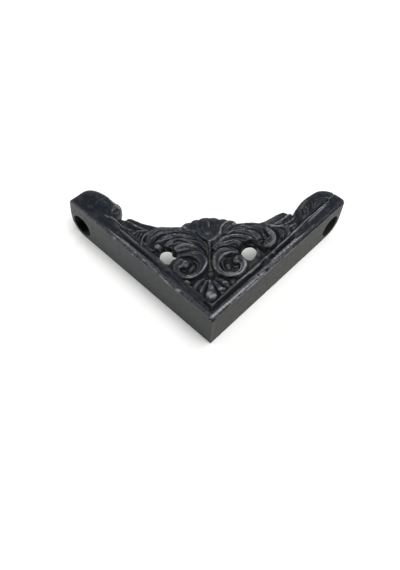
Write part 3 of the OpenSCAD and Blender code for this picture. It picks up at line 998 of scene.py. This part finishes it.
# Left volute: the bright outer rim, the strands behind it.
LEFT_VOLUTE_STROKES: Passes = (
    VOLUTES.ridge(0.7, 0.3, (650, 430), (610, 510), (550, 570), (480, 610), (410, 640)),
    VOLUTES.groove(0.6, 0.3, (400, 190), (480, 205), (540, 240)),
    VOLUTES.groove(0.6, 0.3, (360, 130), (450, 140), (520, 170), (570, 200)),
    VOLUTES.ridge(0.6, 0.25, (350, 160), (430, 168), (510, 195)),
    VOLUTES.groove(0.9, 0.5, (180, 270), (230, 240), (300, 200), (380, 180)),
    VOLUTES.ridge(1.2, 0.3, (280, 470), (330, 480), fade=0.3),
    VOLUTES.groove(0.9, 0.6, (200, 450), (225, 500), (290, 520), (340, 505)),
    VOLUTES.groove(0.9, 0.6, (380, 360), (390, 430), (350, 490)),
    VOLUTES.ridge(0.8, 0.3, (350, 545), (400, 500), (440, 440), (455, 400), fade=0.25),
    VOLUTES.groove(0.5, 0.3, (400, 490), (440, 470)),
)
# Right volute: the hood's bright rim, the cup behind it and the hook of the head.
RIGHT_VOLUTE_STROKES: Passes = (
    VOLUTES.ridge(0.7, 0.4, (868, 390), (885, 340), (920, 285), (990, 232), (1080, 208), (1190, 240),
        fade=0.1),
    VOLUTES.groove(0.9, 0.7, (925, 335), (960, 275), (1040, 245), (1110, 262)),
    VOLUTES.groove(0.8, 0.6, (1080, 370), (1100, 430), (1140, 450), (1200, 440)),
    VOLUTES.ridge(0.6, 0.35, (1110, 418), (1150, 422), (1190, 412), (1225, 390)),
    VOLUTES.groove(0.8, 0.5, (1140, 500), (1190, 480), (1225, 440)),
    VOLUTES.groove(0.8, 0.4, (905, 400), (925, 470), (980, 530)),
    VOLUTES.ridge(1.4, 0.3, (1180, 590), (1260, 545), (1305, 470), (1315, 400), fade=0.25),
)
# Stem and the ground between the volutes.
STEM_STROKES: Passes = (
    VOLUTES.groove(0.5, 0.25, (700, 190), (705, 260), (720, 340)),
    VOLUTES.ridge(1.0, 0.3, (735, 110), (715, 200), (700, 280)),
    VOLUTES.groove(0.6, 0.35, (680, 570), (720, 540), (760, 550), fade=0.3, height=18.8),
    VOLUTES.ridge(1.2, 0.3, (740, 590), (755, 595), fade=0, height=18.6),
)
# Bud and its leaves.
BUD_STROKES: Passes = (
    BUD.ridge(1.2, 0.25, (745, 330), (748, 400), (752, 480)),
    BUD.ridge(2.2, 0.25, (800, 620), (780, 660), fade=0),
    BUD.groove(0.6, 0.4, (720, 330), (700, 400), (690, 470), (690, 540)),
    BUD.groove(0.8, 0.6, (660, 345), (600, 420), (560, 470), (490, 510)),
    BUD.ridge(0.6, 0.3, (670, 350), (650, 420), (610, 480), (560, 530)),
    BUD.groove(0.5, 0.35, (540, 425), (500, 450), (455, 465)),
    BUD.groove(0.8, 0.6, (650, 510), (600, 560), (560, 560)),
    BUD.groove(0.9, 0.6, (690, 560), (650, 620), (690, 690), (760, 725), (840, 710), (900, 640),
        (915, 570)),
    BUD.ridge(1.6, 0.6, (935, 520), (985, 480), (1020, 465), fade=0, height=19),
    BUD.groove(0.6, 0.5, (975, 490), (990, 492), fade=0, height=19.4),
    BUD.ridge(1.2, 0.4, (1005, 370), (1050, 385), (1090, 375), height=19),
    BUD.groove(0.7, 0.4, (950, 560), (1020, 500), (1060, 455), height=18.8),
    BUD.ridge(1.6, 0.5, (300, 350), (350, 370), (380, 410), height=18.8),
    BUD.groove(0.7, 0.5, (320, 400), (370, 450), (430, 470), height=18.6),
)
# Left sprays.
LEFT_SPRAY_STROKES: Passes = (
    LEFT_SPRAYS.ridge(0.7, 0.35, (880, 520), (960, 512), (1050, 508), (1130, 500), fade=0.15),
    LEFT_SPRAYS.groove(0.7, 0.35, (760, 480), (840, 482), (920, 490), (1000, 495)),
    LEFT_SPRAYS.ridge(0.8, 0.5, (1080, 560), (1025, 650), (995, 720), (985, 805), fade=0.15),
    LEFT_SPRAYS.ridge(1.0, 0.3, (985, 800), (987, 815), fade=0),
    LEFT_SPRAYS.ridge(0.7, 0.4, (1010, 560), (945, 650), (880, 720), fade=0.15),
    LEFT_SPRAYS.groove(0.8, 0.5, (860, 580), (830, 610), (790, 640)),
    LEFT_SPRAYS.groove(0.6, 0.4, (1050, 570), (1000, 620), (960, 690)),
    LEFT_SPRAYS.groove(1.4, 0.7, (1040, 640), (1050, 720), (1070, 800), height=19),
    LEFT_SPRAYS.groove(0.6, 0.3, (700, 520), (720, 570), (780, 640)),
    LEFT_SPRAYS.ridge(0.6, 0.25, (560, 450), (620, 470), (680, 520), (700, 560)),
    LEFT_SPRAYS.ridge(0.6, 0.25, (760, 330), (820, 400), (880, 450)),
    LEFT_SPRAYS.groove(0.6, 0.3, (560, 290), (640, 360), (720, 420), (820, 460)),
)
# Left end: the curl.
LEFT_CURL_STROKES: Passes = (
    LEFT_SPRAYS.groove(0.8, 0.4, (310, 200), (330, 130), (370, 60), (420, 20), height=20),
    LEFT_SPRAYS.ridge(0.6, 0.3, (395, 140), (420, 90), (500, 62), (550, 90), height=20),
    LEFT_SPRAYS.groove(0.6, 0.4, (425, 120), (470, 85), (520, 95), height=20),
    LEFT_SPRAYS.ridge(0.6, 0.25, (440, 170), (480, 150), (530, 130), height=20),
)
# Right sprays and the right end.
RIGHT_SPRAY_STROKES: Passes = (
    RIGHT_END.ridge(0.8, 0.45, (320, 510), (400, 512), (470, 508), (560, 488), fade=0.15),
    RIGHT_END.groove(0.7, 0.5, (300, 545), (400, 548), (500, 548), (560, 570), fade=0.15),
    RIGHT_END.groove(0.7, 0.4, (480, 440), (550, 400), (610, 365), (640, 335), fade=0.15),
    RIGHT_END.ridge(0.7, 0.4, (618, 522), (680, 500), (730, 478), (775, 460), fade=0.15),
    RIGHT_END.groove(0.7, 0.5, (590, 480), (650, 465), (700, 440), (730, 410), fade=0.15),
    RIGHT_END.groove(0.6, 0.4, (630, 545), (700, 530), (760, 500)),
    RIGHT_END.ridge(0.7, 0.4, (470, 610), (515, 650), (535, 710)),
    RIGHT_END.ridge(0.6, 0.3, (400, 600), (450, 640), (480, 700)),
    RIGHT_END.groove(0.6, 0.4, (400, 590), (480, 590), (550, 620), (590, 680)),
    RIGHT_END.ridge(0.6, 0.3, (590, 600), (640, 590), fade=0.3),
    RIGHT_END.groove(0.9, 0.6, (210, 545), (300, 590), (360, 640), (395, 700), (400, 760), (370, 830),
        fade=0.15, height=19.8),
    RIGHT_END.groove(0.8, 0.5, (600, 690), (740, 575), (850, 475), (950, 375), (1080, 262), (1200, 170),
        (1300, 90), fade=0.1, height=20),
    RIGHT_END.ridge(0.7, 0.3, (995, 160), (1012, 210), (1000, 260), height=20),
    RIGHT_END.groove(0.8, 0.4, (1055, 60), (1062, 120), (1070, 190), height=20),
    RIGHT_END.groove(0.7, 0.35, (1150, 120), (1190, 80), (1240, 30), height=20),
    RIGHT_END.groove(0.8, 0.4, (870, 160), (870, 210), (930, 300), height=20),
    RIGHT_END.groove(0.6, 0.3, (740, 330), (790, 380), (860, 370), height=20),
)
# Right border: the ridge fades out towards the end.
RIGHT_BORDER_STROKES: Passes = (
    RIGHT_END.fill(2.0, 19.7, (740, 690), (850, 590), (960, 480), fade=0.3, height=20),
    RIGHT_END.ridge(0.6, 0.2, (1015, 440), (1030, 460), fade=0, height=20),
    RIGHT_END.ridge(0.6, 0.2, (1040, 560), (1100, 520), (1180, 440), fade=0.3, height=20),
    RIGHT_VOLUTE.groove(0.8, 0.5, (820, 335), (880, 290), (930, 250), (1050, 140), (1150, 50), fade=0.1),
    RIGHT_VOLUTE.ridge(0.8, 0.3, (850, 325), (865, 335), fade=0, height=20),
)
# The flaw of the casting on the right border.
FLAW_STROKES: Passes = (
    RIGHT_VOLUTE.fill(3.4, 19.5, (640, 560), (690, 470), (760, 380), height=19.8),
    RIGHT_VOLUTE.ridge(1.4, 0.5, (670, 385), (690, 395), fade=0, height=20),
    RIGHT_VOLUTE.ridge(1.2, 0.4, (750, 370), (765, 385), fade=0, height=20),
    RIGHT_VOLUTE.groove(0.8, 0.7, (722, 400), (730, 405), fade=0, height=20),
    RIGHT_VOLUTE.groove(1.2, 0.6, (680, 690), (715, 650), (700, 610), fade=0.1, height=20),
    RIGHT_VOLUTE.ridge(1.4, 0.4, (560, 740), (610, 715), (655, 690), fade=0.3, height=20),
    RIGHT_VOLUTE.groove(0.8, 0.6, (500, 730), (540, 745), (560, 765), height=20),
    RIGHT_VOLUTE.ridge(0.8, 0.5, (470, 660), (505, 630)),
    RIGHT_VOLUTE.groove(1.2, 0.5, (330, 780), (420, 700), (500, 620), (570, 555), (620, 530)),
    RIGHT_VOLUTE.ridge(0.8, 0.3, (215, 1030), (225, 1025), fade=0, height=20),
    RIGHT_VOLUTE.ridge(1.0, 0.3, (590, 480), (600, 470), fade=0, height=20),
    RIGHT_VOLUTE.groove(0.8, 0.5, (630, 450), (640, 520), fade=0, height=20),
)
# Right end: the step in front of the leaf is levelled, the leaf's outline cut again.
RIGHT_END_STROKES: Passes = (
    RIGHT_END.level(4.0, 19.9, (860, 400), (1006, 310), (1206, 190), (1330, 70), (1440, -50), fade=0.12,
        height=20),
    RIGHT_END.groove(1.0, 0.6, (556, 734), (774, 534), (974, 350), (1106, 250), (1256, 116), (1330, 40),
        fade=0.1, height=20),
    RIGHT_END.groove(0.8, 0.45, (1090, 234), (1105, 140), (1132, 84), (1180, 30), (1240, -8), (1330, -40),
        (1390, -30), (1398, 10), (1340, 60), (1274, 116), height=20),
    RIGHT_END.ridge(0.7, 0.3, (1106, 150), (1150, 70), (1200, 10), (1260, 20), height=20),
    RIGHT_END.groove(0.9, 0.45, (1048, 16), (1056, 150), (1080, 220), height=20),
    RIGHT_END.ridge(0.8, 0.35, (940, 130), (998, 200), (990, 284), height=20),
    RIGHT_END.groove(0.9, 0.4, (880, 150), (905, 230), (940, 300), height=20),
    RIGHT_END.ridge(1.8, 0.2, (1006, 434), (1206, 250), (1390, 66), height=20),
    RIGHT_END.groove(1.6, 0.15, (1100, 450), (1290, 270), (1430, 120), height=20),
)
# The hollow beside the stem, filled.
STEM_HOLLOW_STROKES: Passes = (
    CREST.fill(2.2, 19.0, (470, 540), (560, 610), (590, 740), (598, 880), fade=0.15, height=19.4),
    CREST.groove(0.6, 0.35, (600, 640), (612, 760), (628, 900), fade=0.15, height=19.4),
    CREST.groove(0.9, 0.5, (330, 400), (380, 440), (430, 500), (540, 570), fade=0.15),
    CREST.ridge(1.4, 0.2, (590, 160), (575, 300), (590, 420), fade=0.3, height=19.7),
    CREST.ridge(2.0, 0.2, (740, 200), (730, 320), (700, 440), fade=0.3, height=19.7),
    CREST.ridge(2.0, 0.25, (470, 200), (500, 330), (540, 440), fade=0.3, height=19.7),
    CREST.groove(0.7, 0.2, (420, 190), (440, 300), (500, 430), fade=0.3, height=19.7),
    CREST.ridge(1.6, 0.2, (330, 250), (390, 350), (470, 450), fade=0.3, height=19.7),
)
# Left border: its hollow almost filled, the inner ridge worn away.
LEFT_BORDER_STROKES: Passes = (
    LEFT_SIDE.fill(3.4, 19.6, (170, 165), (300, 275), (420, 375), (640, 580), (800, 735), (905, 840),
        fade=0.02),
    LEFT_SIDE.level(2.2, 19.45, (240, 200), (330, 270), (480, 405), (640, 550), (800, 695), (880, 775),
        fade=0.05),
    LEFT_SIDE.groove(0.8, 0.2, (230, 205), (330, 290), (380, 335), fade=0.3),
    LEFT_SIDE.groove(0.7, 0.25, (430, 385), (480, 425), (520, 470), fade=0.3),
    LEFT_SIDE.groove(0.7, 0.2, (560, 520), (620, 565), (660, 610), fade=0.3),
    LEFT_SIDE.groove(0.8, 0.2, (740, 670), (790, 735), (840, 780), fade=0.3),
    LEFT_SIDE.groove(1.2, 0.2, (300, 300), (340, 350), (380, 375), fade=0.3, height=19.8),
    LEFT_SIDE.groove(1.0, 0.25, (520, 510), (545, 545), (600, 590), fade=0.3, height=19.8),
    LEFT_SIDE.ridge(0.8, 0.3, (280, 385), (300, 390), fade=0, height=19.8),
    LEFT_SIDE.ridge(0.7, 0.3, (325, 385), (335, 390), fade=0, height=19.8),
    LEFT_SIDE.ridge(0.8, 0.3, (385, 445), (400, 455), fade=0, height=19.8),
    LEFT_SIDE.ridge(0.9, 0.3, (640, 690), (680, 690), fade=0, height=19.8),
    LEFT_SIDE.ridge(0.8, 0.3, (565, 615), (580, 625), fade=0, height=19.8),
    LEFT_SIDE.level(5.0, 18.4, (470, 345), (490, 345), fade=0, height=18.6),
    LEFT_SIDE.ridge(3.6, 1.3, (490, 340), (512, 328), fade=0, height=19),
)
# The broken edges of the piercings.
PIERCING_STROKES: Passes = (
    RIGHT_BORDER.groove(1.8, 1.2, (350, 225), (400, 190), (470, 178), (530, 215), (575, 262), fade=0.1,
        height=18.3),
    RIGHT_BORDER.groove(2.4, 1.0, (540, 205), (590, 255), (630, 262), fade=0.1, height=18.3),
    RIGHT_BORDER.groove(1.6, 0.8, (355, 290), (350, 240), (370, 215), fade=0.1, height=18.3),
    LEFT_SIDE.groove(1.4, 1.0, (520, 375), (560, 352), (610, 365), (655, 400), fade=0.1, height=18.3),
    LEFT_SIDE.groove(1.2, 0.8, (470, 365), (505, 380), (515, 420), fade=0.1, height=18.3),
)
# The side of the left arm's curl and the leaf's edge before the end.
LEFT_SIDE_STROKES: Passes = (
    RIGHT_BORDER.ridge(1.0, 0.25, (620, 30), (700, 90), (705, 160)),
)
STROKES: Passes = (
    *SHELL_STROKES, *RIGHT_FROND_STROKES, *LEFT_FROND_STROKES, *LEFT_VOLUTE_STROKES, *RIGHT_VOLUTE_STROKES,
    *STEM_STROKES, *BUD_STROKES, *LEFT_SPRAY_STROKES, *LEFT_CURL_STROKES, *RIGHT_SPRAY_STROKES,
    *RIGHT_BORDER_STROKES, *FLAW_STROKES, *RIGHT_END_STROKES, *STEM_HOLLOW_STROKES, *LEFT_BORDER_STROKES,
    *PIERCING_STROKES, *LEFT_SIDE_STROKES
)


# ---- Where the skin is worn bright with painted highlights, dirty, or darkened with painted shade ---

# What hands have worn bright, with painted highlights where the light catches ridges, rims and bulbs.
RUBBED_AND_HIGHLIGHTED_PLACES: Passes = (
    CORNER.polish_and_highlight(1.7, 1.0, (440, 692), (560, 592), (700, 472), (850, 345), (1000, 222), (1150, 100),
        fade=0.03, height=20),
    CORNER.polish_and_highlight(1.6, 0.9, (820, 360), (850, 335), fade=0, height=20),
    CORNER.polish_and_highlight(1.4, 0.6, (1150, 100), (1350, -80), (1600, -290), (1800, -470), fade=0.1, height=20),
    CORNER.polish_and_highlight(1.0, 0.9, (180, 545), (300, 648), (400, 708), (440, 695), fade=0.1, height=19.4),
    CORNER.polish_and_highlight(0.9, 0.8, (0, 345), (35, 360), fade=0, height=19.4),
    CORNER.polish_and_highlight(0.8, 0.8, (180, 535), (200, 550), fade=0, height=19.4),
    CORNER.polish_and_highlight(0.8, 0.8, (255, 572), (275, 592), fade=0, height=19.4),
    CORNER.polish_and_highlight(0.8, 0.55, (560, 400), (700, 290), (850, 180), (1000, 80), height=19.8),
    CORNER.polish_and_highlight(0.9, 0.6, (740, 250), (830, 190), (920, 130), height=19.8),
    CORNER.polish_and_highlight(2.4, 0.75, (700, 155), (790, 140), (850, 80), (870, 10), (850, -60)),
    CORNER.polish_and_highlight(0.9, 0.9, (120, 195), (200, 190), (270, 160), (330, 110), (375, 40), (390, -20),
        height=19.4),
    CORNER.polish_and_highlight(3.0, 0.6, (415, 400), (460, 430), fade=0),
    CORNER.polish_and_highlight(1.8, 0.8, (430, 440), (490, 420), fade=0),
    CORNER.polish_and_highlight(2.4, 0.35, (440, 300), (440, 350), fade=0.1, height=19.4),
    CORNER.polish_and_highlight(1.8, 0.75, (550, 345), (600, 330), fade=0, height=19),
    CORNER.polish_and_highlight(1.1, 0.6, (600, 265), (650, 255), fade=0, height=18.8),
    CORNER.polish_and_highlight(1.0, 0.4, (690, 220), (730, 210), fade=0, height=18.8),
    CORNER.polish_and_highlight(1.3, 0.45, (120, 250), (165, 260), fade=0, height=18.8),
    CORNER.polish_and_highlight(1.6, 0.3, (40, 90), (60, 60), (110, 40), height=19),
    CREST.polish_and_highlight(0.9, 0.8, (630, 590), (720, 550), (820, 470), (850, 380), (870, 300), (940, 230),
        (1000, 205), fade=0.1, height=19.7),
    CREST.polish_and_highlight(1.0, 0.7, (630, 585), (665, 575), fade=0, height=19.4),
    CREST.polish_and_highlight(0.9, 0.5, (770, 650), (900, 540), (1050, 480), (1180, 465), (1300, 470), fade=0.1,
        height=19.7),
    CREST.polish_and_highlight(0.8, 0.45, (900, 610), (1020, 570), (1150, 565), (1260, 600), height=19.7),
    CREST.polish_and_highlight(1.0, 0.9, (820, 1000), (850, 930), (900, 880), (980, 820), (1060, 800), (1140, 815),
        fade=0.1),
    CREST.polish_and_highlight(1.2, 0.4, (560, 860), (585, 930), (590, 1000), height=19.4),
    CREST.polish_and_highlight(1.5, 0.3, (560, 430), (600, 440), fade=0, height=19.8),
    CREST.polish_and_highlight(1.2, 0.3, (610, 180), (620, 300), height=19.8),
    CREST.polish_and_highlight(1.6, 0.3, (110, 310), (160, 330), fade=0),
    CREST.polish_and_highlight(1.2, 0.5, (1110, 245), (1160, 240), fade=0),
    CREST.polish_and_highlight(2.8, 0.2, (20, 680), (120, 650), (240, 660), (300, 690), height=19.4),
    CREST.polish_and_highlight(0.8, 0.4, (0, 350), (120, 360), (240, 380)),
    CREST.polish_and_highlight(0.8, 0.3, (0, 545), (120, 560), (220, 590), (300, 620)),
    RIGHT_END.polish_and_highlight(0.9, 0.55, (230, 480), (330, 500), (420, 512), (520, 505), fade=0.15, height=19.8),
    RIGHT_END.polish_and_highlight(2.6, 0.3, (160, 560), (250, 640), (330, 720), (300, 800)),
    RIGHT_END.polish_and_highlight(0.9, 0.4, (1006, 434), (1206, 250), (1390, 66), height=20),
    RIGHT_END.polish_and_highlight(1.4, 0.35, (760, 500), (790, 480), fade=0, height=20),
    RIGHT_END.polish_and_highlight(0.8, 0.35, (560, 700), (700, 600), (800, 520), height=20),
    RIGHT_END.polish_and_highlight(0.8, 0.4, (640, 520), (720, 480), (780, 460)),
    RIGHT_END.polish_and_highlight(0.8, 0.4, (530, 600), (560, 650), (570, 690)),
    LEFT_SPRAYS.polish_and_highlight(0.8, 0.5, (1080, 560), (1025, 650), (995, 720), (985, 805), fade=0.15),
    LEFT_SPRAYS.polish_and_highlight(0.7, 0.4, (880, 520), (960, 512), (1050, 508), (1130, 500), fade=0.15),
    LEFT_SPRAYS.polish_and_highlight(0.7, 0.4, (395, 140), (420, 90), (500, 62), (550, 90), height=19.8),
    LEFT_SIDE.polish_and_highlight(2.0, 0.45, (490, 330), (515, 335), fade=0),
    LEFT_SIDE.polish_and_highlight(0.8, 0.8, (285, 385), (300, 392), fade=0),
    LEFT_SIDE.polish_and_highlight(0.7, 0.8, (320, 382), (332, 388), fade=0),
    LEFT_SIDE.polish_and_highlight(0.7, 0.6, (255, 360), (262, 368), fade=0),
    LEFT_SIDE.polish_and_highlight(0.8, 0.6, (150, 260), (160, 268), fade=0),
    LEFT_SIDE.polish_and_highlight(0.8, 0.6, (385, 440), (400, 450), fade=0),
    LEFT_SIDE.polish_and_highlight(1.0, 0.5, (640, 685), (680, 690), fade=0),
    LEFT_SIDE.polish_and_highlight(1.0, 0.9, (565, 610), (580, 625), fade=0),
    LEFT_SIDE.polish_and_highlight(0.5, 0.45, (400, 460), (480, 530), (560, 605), (640, 680), (740, 770), (820, 835),
        (900, 905), height=19.2),
    LEFT_SIDE.polish_and_highlight(3.0, 0.14, (600, 310), (680, 310), (760, 330), height=19.4),
    LEFT_SIDE.polish_and_highlight(0.9, 0.5, (450, 270), (465, 235), (500, 215), fade=0.1),
    LEFT_SIDE.polish_and_highlight(0.7, 0.45, (490, 290), (530, 250), (590, 225), fade=0.1),
    RIGHT_BORDER.polish_and_highlight(1.0, 0.6, (600, 320), (625, 325), fade=0, height=20),
    RIGHT_BORDER.polish_and_highlight(1.0, 0.6, (680, 270), (700, 265), fade=0, height=20),
    RIGHT_BORDER.polish_and_highlight(0.9, 0.6, (520, 510), (560, 500), (600, 475), fade=0, height=20),
    RIGHT_BORDER.polish_and_highlight(0.8, 0.6, (560, 375), (520, 410), (470, 450), (400, 500), fade=0.1, height=20),
    RIGHT_BORDER.polish_and_highlight(1.0, 0.5, (650, 420), (720, 360), (800, 290), (880, 220), fade=0.1, height=20),
    RIGHT_BORDER.polish_and_highlight(1.0, 0.4, (700, 220), (760, 180), (820, 120), (900, 50), fade=0.1, height=20),
    RIGHT_BORDER.polish_and_highlight(2.6, 0.3, (620, 60), (680, 100), (690, 160), (640, 200), fade=0.1),
    RIGHT_BORDER.polish_and_highlight(2.2, 0.6, (385, 370), (400, 420), (380, 460), (340, 480), fade=0.1),
    RIGHT_BORDER.polish_and_highlight(2.0, 0.25, (90, 300), (100, 380), (150, 450), (220, 490), fade=0.1),
    RIGHT_BORDER.polish_and_highlight(8.0, 0.10, (200, 140), (330, 60), (430, 90), (520, 140), fade=0.1, height=19.4),
    RIGHT_BORDER.polish_and_highlight(0.8, 0.6, (100, 200), (150, 150), (230, 115), (330, 100), (420, 110), (500, 170),
        fade=0.1),
    RIGHT_BORDER.polish_and_highlight(0.7, 0.5, (190, 190), (250, 160), (320, 160), (380, 185), fade=0.1, height=19.4),
    CORNER.polish_and_highlight(3.0, 0.45, (600, 150), (700, 150), (790, 125), (840, 60), (850, 0), fade=0.1),
    CORNER.polish_and_highlight(1.4, 0.35, (480, 60), (490, 110), (560, 150), fade=0.1),
    CREST.polish_and_highlight(1.0, 0.4, (690, 720), (740, 640), (820, 560), fade=0.1),
)
# Olive dirt, where nothing rubs.
DIRTY_PLACES: Passes = (
    CORNER.dirt(2.4, 1.0, (175, 100), (225, 70), fade=0, height=18.6),
    CORNER.dirt(2.6, 0.7, (430, -40), (430, 60), (440, 120), fade=0.1, height=18.6),
    CORNER.dirt(2.6, 0.8, (400, 160), (440, 190), fade=0, height=18.6),
    CORNER.dirt(2.6, 0.7, (600, 20), (640, 80), (700, 60), fade=0.1, height=18.6),
    CORNER.dirt(2.0, 0.5, (540, 500), (610, 430), (700, 360), (800, 280), fade=0.1, height=19),
    CORNER.dirt(1.4, 0.7, (110, 240), (160, 290), (190, 340), fade=0.1, height=18.6),
    CORNER.dirt(2.4, 0.5, (500, 170), (600, 210), (720, 220), (860, 150), fade=0.1, height=18.6),
    CORNER.dirt(3.0, 0.5, (900, 60), (1000, 0), (1080, -80), fade=0.1, height=18.6),
    CORNER.dirt(3.0, 0.7, (1000, -100), (1100, -140), (1130, -200), fade=0.1, height=18.6),
    CREST.dirt(2.6, 0.5, (60, 700), (180, 660), (280, 700), (300, 760), fade=0.1, height=19.2),
    CREST.dirt(2.2, 0.6, (900, 930), (960, 900), (1000, 960), fade=0.1, height=19),
    CREST.dirt(1.8, 0.6, (560, 640), (580, 760), (600, 860), fade=0.1, height=19),
    RIGHT_END.dirt(2.4, 0.4, (900, 80), (960, 180), (900, 260), fade=0.1, height=20),
    RIGHT_BORDER.dirt(1.8, 0.8, (520, 290), (545, 310), fade=0, height=18.3),
    RIGHT_BORDER.dirt(2.4, 0.4, (440, 400), (500, 370), (540, 330), fade=0.1, height=18.3),
    CORNER.dirt(2.2, 0.9, (180, 105), (215, 75), fade=0, height=18.6),
)
# The deepest lines, left black: painted shade, with some black grime.
SHADED_AND_BLACK_LINES: Passes = (
    CREST.shade_and_soot(1.0, 0.8, (330, 400), (380, 440), (430, 500), (540, 570), fade=0.1),
    CREST.shade_and_soot(0.7, 0.7, (620, 605), (720, 580), (800, 510), (870, 450), (960, 440), fade=0.1, height=19.4),
    CREST.shade_and_soot(1.0, 0.9, (690, 990), (685, 870), (700, 720), (760, 630), (860, 560), fade=0.1, height=19.2),
    CREST.shade_and_soot(0.8, 0.7, (1000, 520), (1100, 500), (1200, 510), (1277, 530), fade=0.1, height=19.4),
    CREST.shade_and_soot(1.1, 0.9, (900, 920), (970, 880), (1060, 850), (1130, 850), fade=0.1, height=19),
    CREST.shade_and_soot(0.8, 0.6, (0, 960), (60, 900), (150, 830), (250, 790), (330, 810), fade=0.1, height=19.2),
    CREST.shade_and_soot(0.6, 0.4, (0, 420), (120, 440), (250, 470), (330, 510), fade=0.1, height=19.4),
    CREST.shade_and_soot(0.7, 0.7, (650, 210), (648, 300), (675, 390), fade=0.1, height=19.7),
    CREST.shade_and_soot(1.0, 0.5, (310, 280), (350, 340), (380, 400), height=19.7),
    CORNER.shade_and_soot(1.2, 0.7, (240, 370), (330, 450), (370, 500), (420, 560), (430, 610), fade=0.1,
        height=19.4),
    CORNER.shade_and_soot(0.9, 0.8, (360, 420), (400, 480), (450, 495), (510, 460), (535, 420), fade=0.1,
        height=19.2),
    CORNER.shade_and_soot(0.8, 0.6, (430, 610), (540, 560), (620, 490), (700, 420), fade=0.1),
    RIGHT_END.shade_and_soot(0.9, 0.8, (556, 734), (774, 534), (974, 350), (1106, 250), (1256, 116), fade=0.1,
        height=20),
    RIGHT_END.shade_and_soot(0.8, 0.6, (1105, 140), (1132, 84), (1180, 30), (1240, -8), (1330, -40), (1390, -30),
        (1398, 10), (1340, 60), (1274, 116), height=20),
    RIGHT_END.shade_and_soot(0.9, 0.6, (1048, 16), (1056, 150), (1080, 220), height=20),
    RIGHT_END.shade_and_soot(1.6, 0.7, (400, 330), (460, 300), (520, 290), fade=0.1, height=19.4),
    RIGHT_END.shade_and_soot(3.0, 0.5, (1210, 150), (1260, 60), (1330, 0), height=20),
    RIGHT_BORDER.shade_and_soot(2.0, 1.0, (340, 235), (390, 190), (470, 172), (535, 212), (585, 265), (620, 290),
        fade=0.05, height=18.3),
    RIGHT_BORDER.shade_and_soot(3.0, 1.0, (530, 195), (580, 245), (640, 255), fade=0.1, height=18.3),
    RIGHT_BORDER.shade_and_soot(1.4, 0.9, (330, 300), (350, 255), (370, 215), fade=0.1, height=18.3),
    RIGHT_BORDER.shade_and_soot(1.6, 0.7, (540, 380), (580, 330), (620, 290), fade=0.1, height=18.3),
    LEFT_SIDE.shade_and_soot(1.6, 1.0, (515, 375), (560, 350), (610, 362), (660, 400), fade=0.05, height=18.3),
    LEFT_SIDE.shade_and_soot(1.4, 0.9, (465, 365), (505, 375), (515, 420), fade=0.1, height=18.3),
    LEFT_SIDE.shade_and_soot(1.0, 0.7, (650, 400), (640, 440), (610, 460), fade=0.1, height=18.5),
    LEFT_SIDE.shade_and_soot(0.9, 0.6, (620, 480), (630, 540), (680, 590), (760, 600), fade=0.1, height=19),
    LEFT_SIDE.shade_and_soot(1.4, 0.6, (385, 300), (395, 350), (440, 385), fade=0.1, height=19),
    LEFT_SIDE.shade_and_soot(1.2, 0.5, (60, 125), (120, 180), (180, 235), (250, 300), fade=0.3, height=19.8),
    LEFT_SIDE.shade_and_soot(1.0, 0.5, (540, 540), (620, 600), (700, 670), (790, 740), (870, 830), fade=0.1,
        height=19.8),
    RIGHT_BORDER.shade_and_soot(1.0, 0.8, (560, 400), (600, 380), (640, 340), fade=0, height=20),
    RIGHT_BORDER.shade_and_soot(0.9, 0.8, (600, 450), (630, 430), fade=0, height=20),
    RIGHT_BORDER.shade_and_soot(1.0, 0.7, (660, 330), (720, 270), (780, 215), (840, 160), fade=0.1, height=20),
    RIGHT_BORDER.shade_and_soot(0.9, 0.8, (500, 480), (540, 450), (590, 410), fade=0.1, height=20),
    RIGHT_BORDER.shade_and_soot(0.8, 0.6, (230, 300), (200, 350), (210, 420), (260, 450), fade=0.1),
    RIGHT_BORDER.shade_and_soot(0.8, 0.7, (150, 180), (220, 140), (300, 128), (380, 140), (450, 165), fade=0.1,
        height=19.4),
    RIGHT_BORDER.shade_and_soot(0.8, 0.7, (180, 60), (280, 25), (400, 25), (520, 60), fade=0.1, height=19.4),
)
WEAR: Passes = (*RUBBED_AND_HIGHLIGHTED_PLACES, *DIRTY_PLACES, *SHADED_AND_BLACK_LINES)


def main() -> None:
    """Builds the bracket and the studio."""
    logging.basicConfig(level=logging.INFO, format="%(name)s: %(message)s")
    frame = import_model()
    Studio().build()
    low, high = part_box(NODE)
    Casting(strokes=STROKES, wear=WEAR).build(frame["nodes"][NODE], low, high)


if __name__ == "__main__":
    main()
